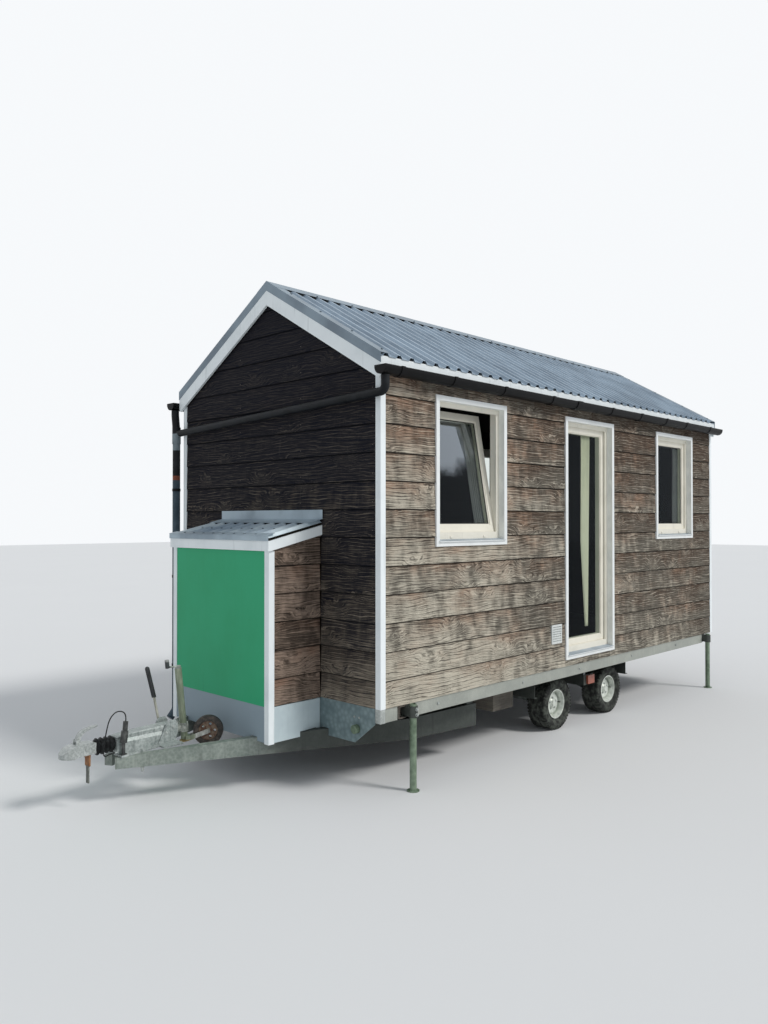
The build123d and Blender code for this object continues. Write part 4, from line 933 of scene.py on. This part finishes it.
green = Finish("green board", {"Specular IOR Level": 0.2})
cloud = green.noise(3, 3, 2.2, detail=4)
streak = green.noise(46, 46, 1.2, detail=3)
low = green.z.ease(0.78, 0.60)
tone = green.mix(cloud.ease(0.3, 0.7), rgb(48, 161, 113), rgb(54, 167, 120))
tone = green.mix(streak.ease(0.55, 0.78) * (0.12 + low * 0.3), tone, rgb(45, 140, 98))
green.feed(Base_Color=tone, Roughness=cloud * 0.15 + 0.42, bump=green.noise(220, 220, 220), depth=0.00025)
coat(green.material, "locker_panel")


# Roof.
# Trapezoidal steel sheets with a ridge cap and verge flashings, colour coated blue-grey, held
# by screws with rubber washers. Black foam strips close the ribs under every flashing.

def coated(name, tone, dull, painted_sheen_tone=None):
    sheet = Finish(name)
    cloud = sheet.noise(2.2, 2.2, 2.2, detail=5)
    streak = sheet.noise(40, 3, 3, detail=4)
    speck = sheet.noise(200, 200, 200, detail=2)
    colour = sheet.mix((cloud * 0.6 + streak * 0.4).ease(0.36, 0.64), dull, tone)
    # Painted highlight: below the main eaves the locker's roof and flashings get a lighter copy of the
    # coating for the sheen of the sky on them.
    if painted_sheen_tone:
        painted_sheen_colour = sheet.mix(cloud.ease(0.36, 0.64), tone, painted_sheen_tone)
        colour = sheet.mix(sheet.z.ease(2.4, 2.3), colour, painted_sheen_colour)
    colour = sheet.mix(speck.ease(0.64, 0.80) * 0.25, colour, rgb(92, 102, 108))
    return sheet.feed(Base_Color=colour, Roughness=cloud * 0.2 + 0.36, Metallic=cloud * 0.25,
                      bump=cloud, depth=0.0015)


roof_blue = coated("roof coating", rgb(150, 168, 184), rgb(116, 133, 149), rgb(212, 226, 232))
flash_blue = coated("flashing coating", rgb(132, 148, 160), rgb(104, 118, 130), rgb(168, 184, 194))
coat(roof_blue, "roof_sheets")
coat(flash_blue, "roof_flashings")

foam = speckled("foam filler", 400, rgb(10, 11, 12), rgb(34, 35, 36), 0.9, spread=-0.1,
                depth=0.001, fixed=matt)

deck_ridge = 3.8066
rib_pitch = 0.133
first_rib = hitch + 0.022
rib_count = 42


def on_slope(piece, side):
    """Lays a piece drawn level at the ridge line down the door side or back side slope."""
    piece.rotation_euler.x = -side * slope
    piece.location = (0, 0, deck_ridge)
    choose(piece)
    set_down()


def filler(name, side, near, far, level):
    """Foam between the ribs under a flashing, one tapered wedge to each valley."""
    x0, x1 = first_rib + 0.031, first_rib + rib_pitch - 0.031
    y0, y1 = sorted((side * near, side * far))
    wedge = block(name, (x0 + 0.001, y0, 0.002), (x1 - 0.001, y1, level), foam)
    edit(wedge)
    pick(lambda middle, normal: normal.z > 0.5)
    widened = (x1 - x0 + 0.028) / (x1 - x0)
    bpy.ops.transform.resize(value=(widened, 1, 1), center_override=((x0 + x1) / 2, 0, 0))
    done()
    repeat(wedge, rib_count - 1, (rib_pitch, 0, 0))
    on_slope(wedge, side)
    return wedge


ridge_foam = [filler("foam", side, 0.085, 0.1235, 0.0212) for side in (-1, 1)]
merged("ridge_foam", ridge_foam)


def roof_screw(x, y, level, washer=0.0022, reach=0.0075):
    """A hexagon roofing screw on its rubber washer."""
    return [rod("washer", (x, y, level), (x, y, level + washer), 0.0085, foam, sides=12),
            rod("screw", (x, y, level + washer), (x, y, level + reach), 0.0052, flash_blue, sides=6)]


def screws(side, distances, start, every, count, level):
    """Rows of roofing screws along the ridge, at these distances down the slope."""
    made = []
    for distance in distances:
        row = merged("row", roof_screw(start, side * distance, level))
        repeat(row, count, (rib_pitch * every, 0, 0))
        on_slope(row, side)
        made.append(row)
    return made


heads = []
for side in (-1, 1):
    heads += screws(side, (0.34, 0.72, 1.10, 1.42), first_rib + rib_pitch / 2, 2, 21, 0.0018)
    heads += screws(side, (0.100,), first_rib + 3 * rib_pitch, 3, 13, 0.0248)
    for x in (hitch + 0.040, hitch + house_length - 0.040):
        heads += screws(side, (0.25, 0.65, 1.05, 1.40), x, 1, 1, 0.0235)
merged("roof_screws", heads)

# The locker roof's own fillers and screws follow its shallower fall.
locker_pitch = math.atan(locker_rise)
nose = locker_depth + 0.023
locker_level = 1.778 + 0.024 + 0.0006 - 0.023 * locker_rise
locker_ribs = [-(locker_half + 0.022) + 0.043 + i * rib_pitch for i in range(10)]


def on_locker(piece):
    piece.rotation_euler.y = -locker_pitch
    piece.location = (hitch - nose, 0, locker_level)
    choose(piece)
    set_down()
    return piece


locker_bits = []
for y in locker_ribs[:-1]:
    for x0, x1 in ((0.012, 0.040), (0.400, 0.440)):
        wedge = block("foam", (x0, y + 0.032, 0.002), (x1, y + 0.101, 0.0212), foam)
        edit(wedge)
        pick(lambda middle, normal: normal.z > 0.5)
        bpy.ops.transform.resize(value=(1, 1.4, 1), center_override=(0, y + rib_pitch / 2, 0))
        done()
        locker_bits.append(on_locker(wedge))
for y in locker_ribs[1:-1]:
    for x, level in ((0.030, 0.0236), (0.200, 0.0218)):
        locker_bits += [on_locker(part) for part in roof_screw(x, y, level, washer=0.002, reach=0.0072)]
merged("locker_roof_fixings", locker_bits)


# Gutters and rainwater pipes.
# Half-round black steel gutters in wrap-round brackets. A pipe takes the door side's water
# across the hitch gable to the downpipe, whose parts are of three colours.

lacquer = Finish("gutter lacquer", {"Specular IOR Level": 0.15})
cloud = lacquer.noise(12, 12, 12, detail=4)
run_mark = lacquer.noise(60, 60, 4)
tone = lacquer.mix(cloud.ease(0.35, 0.7), rgb(3, 3, 4), rgb(12, 13, 15))
tone = lacquer.mix(run_mark.ease(0.6, 0.8) * 0.35, tone, rgb(50, 56, 58))
gutter_black = lacquer.feed(Base_Color=tone, Roughness=cloud * 0.25 + 0.32, bump=cloud, depth=0.0006)
coat(gutter_black, "gutter_door_side", "gutter_back_side")

pipes = Finish("rainwater pipes", matt)
cloud = pipes.noise(9, 9, 9, detail=4)
stain = pipes.noise(60, 60, 3)
dark = pipes.mix(cloud.ease(0.35, 0.7), rgb(12, 15, 18), rgb(30, 33, 37))
grey = pipes.mix(cloud.ease(0.35, 0.7), rgb(96, 108, 114), rgb(132, 144, 150))
slate = pipes.mix(cloud.ease(0.35, 0.7), rgb(56, 70, 80), rgb(76, 91, 101))
orange = pipes.mix(cloud.ease(0.35, 0.7), rgb(118, 66, 48), rgb(156, 94, 70))
down = pipes.y.ease(1.245, 1.255)
tone = pipes.mix(down * pipes.z.ease(2.560, 2.556), grey, dark)
tone = pipes.mix(down * pipes.z.ease(2.330, 2.327), tone, orange)
tone = pipes.mix(down * pipes.z.ease(2.290, 2.287), tone, slate)
tone = pipes.mix(down * pipes.z.ease(2.710, 2.706), dark, tone)
tone = pipes.mix(stain.ease(0.6, 0.8) * 0.35, tone, rgb(30, 34, 36))
pipes.feed(Base_Color=tone, Roughness=cloud * 0.2 + 0.42, bump=cloud, depth=0.0006)
coat(pipes.material, "rainwater_pipes")

gutter_radius = 0.055
gutter_y = 1.277 + gutter_radius
gutter_mid = 2.9204 + gutter_radius
gutter_top = 2.9844
strap_x = (0.090, 0.665, 1.295, 1.990, 3.005, 3.585, 4.140, 4.620, 5.230)
union_x = 2.410


def gutter_bracket(x, side, width=0.034, proud=0.0045):
    """A flat strap under the gutter, up its front and hooked over the lip. A union is a wide one."""
    radius, near = gutter_radius + proud, gutter_radius + 0.0002
    outline = [(-width / 2, radius), (width / 2, radius), (width / 2, near), (-width / 2, near)]
    middle = (x, side * gutter_y, gutter_mid)
    ring = lathe("bracket", outline, middle, (1, 0, 0), gutter_black, steps=14, turn=math.pi)
    low = min(v.co.y - side * gutter_y for v in ring.data.vertices)
    quarter = 1 if low > -0.01 else -1
    for vertex in ring.data.vertices:
        y, z = vertex.co.y - side * gutter_y, vertex.co.z - gutter_mid
        vertex.co.y, vertex.co.z = side * gutter_y + quarter * z, gutter_mid - quarter * y
    parts = [ring]
    front = gutter_y + near
    for y0, y1, z0, z1 in ((front, gutter_y + radius, gutter_mid, gutter_top + 0.0030),
                           (front - 0.010, front, gutter_top + 0.0005, gutter_top + 0.0030)):
        first, last = sorted((side * y0, side * y1))
        parts.append(block("hook", (x - width / 2, first, z0), (x + width / 2, last, z1), gutter_black))
    return parts


straps = []
for side in (-1, 1):
    for x in strap_x:
        straps += gutter_bracket(hitch + x, side)
    straps += gutter_bracket(hitch + union_x, side, width=0.075, proud=0.0060)
merged("gutter_brackets", straps)

clips = []
for z in (0.62, 1.42, 2.20):
    clips.append(lathe("clip", [(-0.012, 0.0345), (0.012, 0.0345), (0.012, 0.0375), (-0.012, 0.0375)],
                       (hitch - 0.038, gutter_y - 0.022, z), (0, 0, 1), gutter_black, steps=28))
merged("pipe_clips", clips)


# Windows.
# Cream-painted timber frames set deep in white casings, with a grey lining and sill, double
# glazing in black seals, drain caps in each foot and a lever handle inside.

casing = Finish("white casing and grey reveal")
cloud = casing.noise(6, 6, 6, detail=4)
facing = casing.node("NewGeometry", {}, output="Normal")
ny, nz = (casing.node("SeparateXYZ", {0: facing}, output=i) for i in (1, 2))
inside = 0.0
for (x0, x1), (z0, z1) in ((windows[0], window_z), (windows[1], window_z), (door, door_z)):
    mid_x, mid_z = (x0 + x1) / 2, (z0 + z1) / 2
    across = abs(casing.x - mid_x).ease((x1 - x0) / 2 - 0.014, (x1 - x0) / 2 - 0.018)
    up = (casing.z - mid_z).ease((z1 - z0) / 2 - 0.014, (z1 - z0) / 2 - 0.018)
    foot = casing.z.ease(z0 + 0.0325, z0 + 0.0335)
    within = across * up * foot
    inside = within if isinstance(inside, float) else inside.either(within)
# Painted light: inside each opening the reveal's sides and head are painted lighter than the casing, for the
# light falling into the opening.
painted_light_faces = abs(ny).ease(0.6, 0.4)
reveal = inside * painted_light_faces
sill = inside * nz.ease(0.4, 0.6)
fresh = casing.mix(cloud.ease(0.45, 0.8) * 0.5, rgb(232, 235, 235), rgb(206, 211, 212))
painted_light_reveal_tone = casing.mix(cloud.ease(0.35, 0.7), rgb(226, 228, 224), rgb(244, 245, 240))
flashed = casing.mix(cloud.ease(0.35, 0.7), rgb(140, 152, 162), rgb(168, 178, 186))
tone = casing.mix(sill, casing.mix(reveal, fresh, painted_light_reveal_tone), flashed)
casing.feed(Base_Color=tone, Roughness=cloud * 0.25 + 0.38, bump=cloud, depth=0.0005)
coat(casing.material, "window_casings", "door_casing")

cream = paint("cream paint", rgb(233, 229, 216), rgb(206, 202, 188), wear=0.45)
coat(cream, "window_frames", "window_sashes", "door_frame", "door_leaf")


def glazing(name):
    """Clear double glazing with a faint film. A pane that leans back gets a stronger painted reflection,
    strongest in a band across its top.
    """
    glass = Finish(name)
    film = glass.noise(3, 3, 3, detail=4)
    facing = glass.node("NewGeometry", {}, output="Normal")
    leaning = glass.node("SeparateXYZ", {0: facing}, output=2).ease(0.05, 0.15)
    # Painted reflection: a band high on the leaning pane turns almost to mirror.
    painted_reflection_band = (glass.z + film * 0.5 - glass.x * 0.5).ease(2.98, 3.15)
    clear = glass.node("BsdfTransparent", {"Color": rgb(243, 246, 243)})
    gloss = glass.node("BsdfGlossy", {"Color": rgb(220, 230, 240), "Roughness": 0.02})
    edge = glass.node("Fresnel", {"IOR": 1.5})
    front = 1.0 - glass.node("NewGeometry", {}, output="Backfacing")
    share = (edge * (leaning * (painted_reflection_band * 5.0 + 0.1) + 0.22) + film.ease(0.3, 0.8) * 0.004) * front
    both = glass.node("MixShader", {0: share, 1: clear, 2: gloss})
    glass.tree.links.new(both.socket, glass.tree.nodes["Material Output"].inputs["Surface"])
    return glass.material


pane = glazing("double glazing")
coat(pane, "window_glass", "door_glass")

seal_rubber = speckled("glazing seal", 50, rgb(26, 27, 27), rgb(58, 60, 58), 0.6)
cream_cap = speckled("cream cap", 70, rgb(226, 222, 208), rgb(238, 234, 222), 0.3)
handle_metal = zinc("brushed handle", rgb(186, 188, 186), rgb(150, 152, 150), flower=160, grime=0.1,
                    metallic=0.6, roughness=0.35)

tilt = math.radians(10)
casing_front = half_width + 0.008
reveal_depth = 0.055
rebate = 0.018
sash_depth = 0.055
glass_depth = 0.024
frame_front = casing_front - reveal_depth - 0.0003
sash_front = frame_front - rebate - 0.0003


def seal(name, x0, x1, z0, z1, y):
    """A flat rubber frame round the pane, opened up from a thin plate."""
    plate = block(name, (x0, y, z0), (x1, y + 0.004, z1), seal_rubber)
    edit(plate)
    pick(lambda middle, normal: abs(normal.y) > 0.5)
    bpy.ops.mesh.inset(thickness=0.007, use_individual=True)
    bpy.ops.mesh.bridge_edge_loops()
    done()
    return plate


def leaned(piece, foot_z):
    """Leans a sash's piece in at the top about the inner edge of the sash's foot."""
    there = Matrix.Translation((0, -(sash_front - sash_depth), foot_z))
    piece.data.transform(there @ Matrix.Rotation(-tilt, 4, "X") @ there.inverted())


def mirrored(piece):
    """Takes a piece made for the door side over to the back wall."""
    piece.data.transform(Matrix.Scale(-1, 4, (0, 1, 0)))
    piece.data.flip_normals()


def sash_edges(x0, x1, z0, z1, gap=0.0003):
    """Where a sash starts and ends in its casing: x from, x to, z from, z to."""
    return x0 + 0.064 + gap, x1 - 0.064 - gap, z0 + 0.090 + gap, z1 - 0.064 - gap


def pane_edges(x0, x1, z0, z1):
    """Where the glass shows inside a window's sash, whose foot is a little deeper."""
    return x0 + 0.062, x1 - 0.062, z0 + 0.070, z1 - 0.062


for side in (-1, 1):
    for order, (x0, x1) in enumerate(windows):
        name = f"{'door' if side < 0 else 'back'}_side_window_{order + 1}"
        sash = sash_edges(x0, x1, *window_z)
        px0, px1, pz0, pz1 = pane_edges(*sash)
        glass_face = sash_front - (sash_depth - glass_depth) / 2
        ring = seal("seal", px0, px1, pz0, pz1, -(glass_face + 0.0045))
        parts = [ring]
        for share in (0.17, 0.83):
            x = px0 + (px1 - px0) * share
            cap_low = (x - 0.014, -(frame_front + 0.006), window_z[0] + 0.060)
            cap_high = (x + 0.014, -(frame_front - 0.001), window_z[0] + 0.076)
            parts.append(block("cap", cap_low, cap_high, cream_cap, bevel=0.002))
        hx = sash[0] + 0.030
        back = -(sash_front - sash_depth)
        stand = pz0 + 0.38
        plate = block("handle", (hx - 0.014, back, stand - 0.035),
                      (hx + 0.014, back + 0.010, stand + 0.035), handle_metal, bevel=0.003)
        neck = rod("handle", (hx, back + 0.008, stand + 0.015),
                   (hx, back + 0.042, stand + 0.015), 0.008, handle_metal)
        bar = block("handle", (hx - 0.009, back + 0.034, stand - 0.115),
                    (hx + 0.009, back + 0.046, stand + 0.022), handle_metal, bevel=0.004)
        parts += [plate, neck, bar]
        if side < 0 and order == 0:
            for part in (ring, plate, neck, bar):
                leaned(part, sash[2])
        fitted = merged(name + "_fittings", parts)
        if side > 0:
            mirrored(fitted)


# Curtains.
# Thin unlined cotton hung on the sashes: a gathered strip at each rear stile, and on the door a
# wider one tied back to the hinge side.


def woven(name, first, second, fold_tone, folds, lean, start, strength):
    """Plain-woven cotton on the cloth's own coordinates, with the shade of its folds."""
    cotton = Finish(name)
    cloth_map = cotton.node("UVMap", {}, uv_map="cloth")
    across, up = (cotton.node("SeparateXYZ", {0: cloth_map}, output=i) for i in (0, 1))
    weave = (across * 2600).sine() * (up * 2600).sine()
    cloud = cotton.noise(8, 8, 5, detail=4)
    crease = (across * folds + up * lean + cloud * 2).sine().ease(start, 1.0)
    tone = cotton.mix(crease * strength, cotton.mix(cloud, first, second), fold_tone)
    return cotton.feed(Base_Color=tone, Roughness=0.85 - cloud * 0.1, bump=weave, depth=0.0002)


cotton = woven("curtain cotton", rgb(236, 232, 212), rgb(250, 247, 230), rgb(150, 152, 132), 38, 2, 0.2, 0.55)
grey_cotton = woven("grey curtain cotton", rgb(92, 92, 96), rgb(124, 124, 126), rgb(44, 44, 46),
                    31, 0, 0.0, 0.6)


def curtain(name, left, right, low, high, y, pleats, depth, finish):
    """A pleated sheet; left and right give its edges at each height, from 0 at the foot to 1."""
    deselect()
    across, up = pleats * 10, 40
    bpy.ops.mesh.primitive_grid_add(x_subdivisions=across, y_subdivisions=up, size=1)
    cloth = settle(name, finish)
    layer = cloth.data.uv_layers[0]
    layer.name = "cloth"
    flat = 0.0
    for vertex in cloth.data.vertices:
        share, rise = vertex.co.x + 0.5, vertex.co.y + 0.5
        x = left(rise) + (right(rise) - left(rise)) * share
        swing = math.sin(share * pleats * 2 * math.pi + 0.6 * math.sin(rise * 5)) * depth
        vertex.co = (x, y + swing, low + (high - low) * rise)
    for face in cloth.data.polygons:
        flat += face.area
    harden(cloth, "SOLIDIFY", thickness=0.0008, offset=0)
    bpy.ops.object.shade_smooth()
    length = high - low
    return cloth, (flat / length, length)


for side in (-1, 1):
    for order, (x0, x1) in enumerate(windows):
        name = f"curtain_{'door' if side < 0 else 'back'}_side_{order + 1}"
        sash = sash_edges(x0, x1, *window_z)
        px0, px1, pz0, pz1 = pane_edges(*sash)
        span = (px1 - px0) * 0.2
        y = -(sash_front - sash_depth / 2 - glass_depth / 2 - 0.0098)
        cloth, flat = curtain(name, lambda rise: px1 - span, lambda rise: px1 - 0.002,
                              pz0 + 0.004, pz1 - 0.004, y, 5, 0.0078, grey_cotton)
        if side < 0 and order == 0:
            leaned(cloth, sash[2])
        if side > 0:
            mirrored(cloth)
        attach(cloth, "house")
for cloth in [o for o in bpy.data.objects if o.name.startswith("curtain_")]:
    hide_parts("window_curtains")

# The door's cloth, measured on the photograph at three heights. Each row gives the height and the
# cloth's two edges, as shares of the pane.
dx0, dx1, dz0, dz1 = sash_edges(*door, *door_z, gap=0.005)
dx0, dx1, dz0, dz1 = dx0 + 0.064, dx1 - 0.064, dz0 + 0.074, dz1 - 0.064
door_edges = ((0.04, 0.66, 0.74), (0.45, 0.55, 0.77), (1.00, 0.55, 0.80))


def door_edge(which):
    """The cloth's left (1) or right (2) edge, swept between the three heights."""
    def edge(rise):
        low, high = door_edges[:2] if rise < door_edges[1][0] else door_edges[1:]
        share = (rise - low[0]) / (high[0] - low[0])
        return dx0 + (dx1 - dx0) * (low[which] + (high[which] - low[which]) * share)
    return edge


foot = dz0 + (dz1 - dz0) * door_edges[0][0]
leaf_front = casing_front - reveal_depth - rebate - 0.005
door_cloth_y = -(leaf_front - sash_depth / 2 - glass_depth / 2 - 0.010)
door_cloth, flat = curtain("curtain_door", door_edge(1), door_edge(2), foot, dz1, door_cloth_y, 6, 0.0075,
                           cotton)
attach(door_cloth, "door")
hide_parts("door_curtain")


# Camera, light and floor.
# The photograph's viewpoint, a plain pale floor and level studio light.

camera_data = bpy.data.cameras.new("photograph")
camera_data.lens = 28.783
camera_data.sensor_width = 36
camera_data.clip_start = 0.05
camera = bpy.data.objects.new("photograph", camera_data)
bpy.context.scene.collection.objects.link(camera)
camera.location = (-5.9855, -5.220, 1.923)
camera.rotation_euler = (math.radians(90.60), 0, math.radians(44.263 - 90))
bpy.context.scene.camera = camera

bpy.ops.object.light_add(type="SUN", location=(2, -6, 7))
sun = bpy.context.object
sun.name = "soft sun"
sun.data.energy = 1.75
sun.data.angle = math.radians(14)
sun.data.color = (1.0, 0.98, 0.95)
sun.rotation_euler = Vector((0.30, -0.75, 0.70)).to_track_quat("Z", "Y").to_euler()

world = bpy.data.worlds.new("studio")
bpy.context.scene.world = world
world.use_nodes = True
world.node_tree.nodes.clear()


def sky(kind, sockets, **settings):
    """A node of the world, with the values or links of its sockets."""
    made = world.node_tree.nodes.new("ShaderNode" + kind)
    for setting, value in settings.items():
        setattr(made, setting, value)
    for socket, value in sockets.items():
        if isinstance(value, bpy.types.NodeSocket):
            world.node_tree.links.new(value, made.inputs[socket])
        else:
            made.inputs[socket].default_value = value
    return made.outputs


ray = sky("LightPath", {})
seen = sky("Math", {0: ray["Is Camera Ray"], 1: ray["Is Glossy Ray"]}, operation="MAXIMUM")
through = sky("Math", {0: seen[0], 1: ray["Is Transmission Ray"]}, operation="MAXIMUM")
lit = sky("Background", {"Color": (0.90, 0.95, 1.0, 1), "Strength": 0.56})
backdrop = sky("Background", {"Color": (0.93, 0.95, 0.97, 1), "Strength": 1.0})
choice = sky("MixShader", {0: through[0], 1: lit[0], 2: backdrop[0]})
sky("OutputWorld", {"Surface": choice[0]})

deselect()
bpy.ops.mesh.primitive_plane_add(size=120, location=(0, 0, -0.0005))
pale = Finish("pale floor")
pale.feed(Base_Color=pale.mix(pale.noise(0.3, 0.3, 0.3), rgb(226, 227, 228), rgb(229, 230, 231)),
          Roughness=pale.noise(0.2, 0.2, 0.2) * 0.02 + 0.9)
floor = settle("floor", pale.material)
bpy.context.scene.view_settings.view_transform = "Standard"
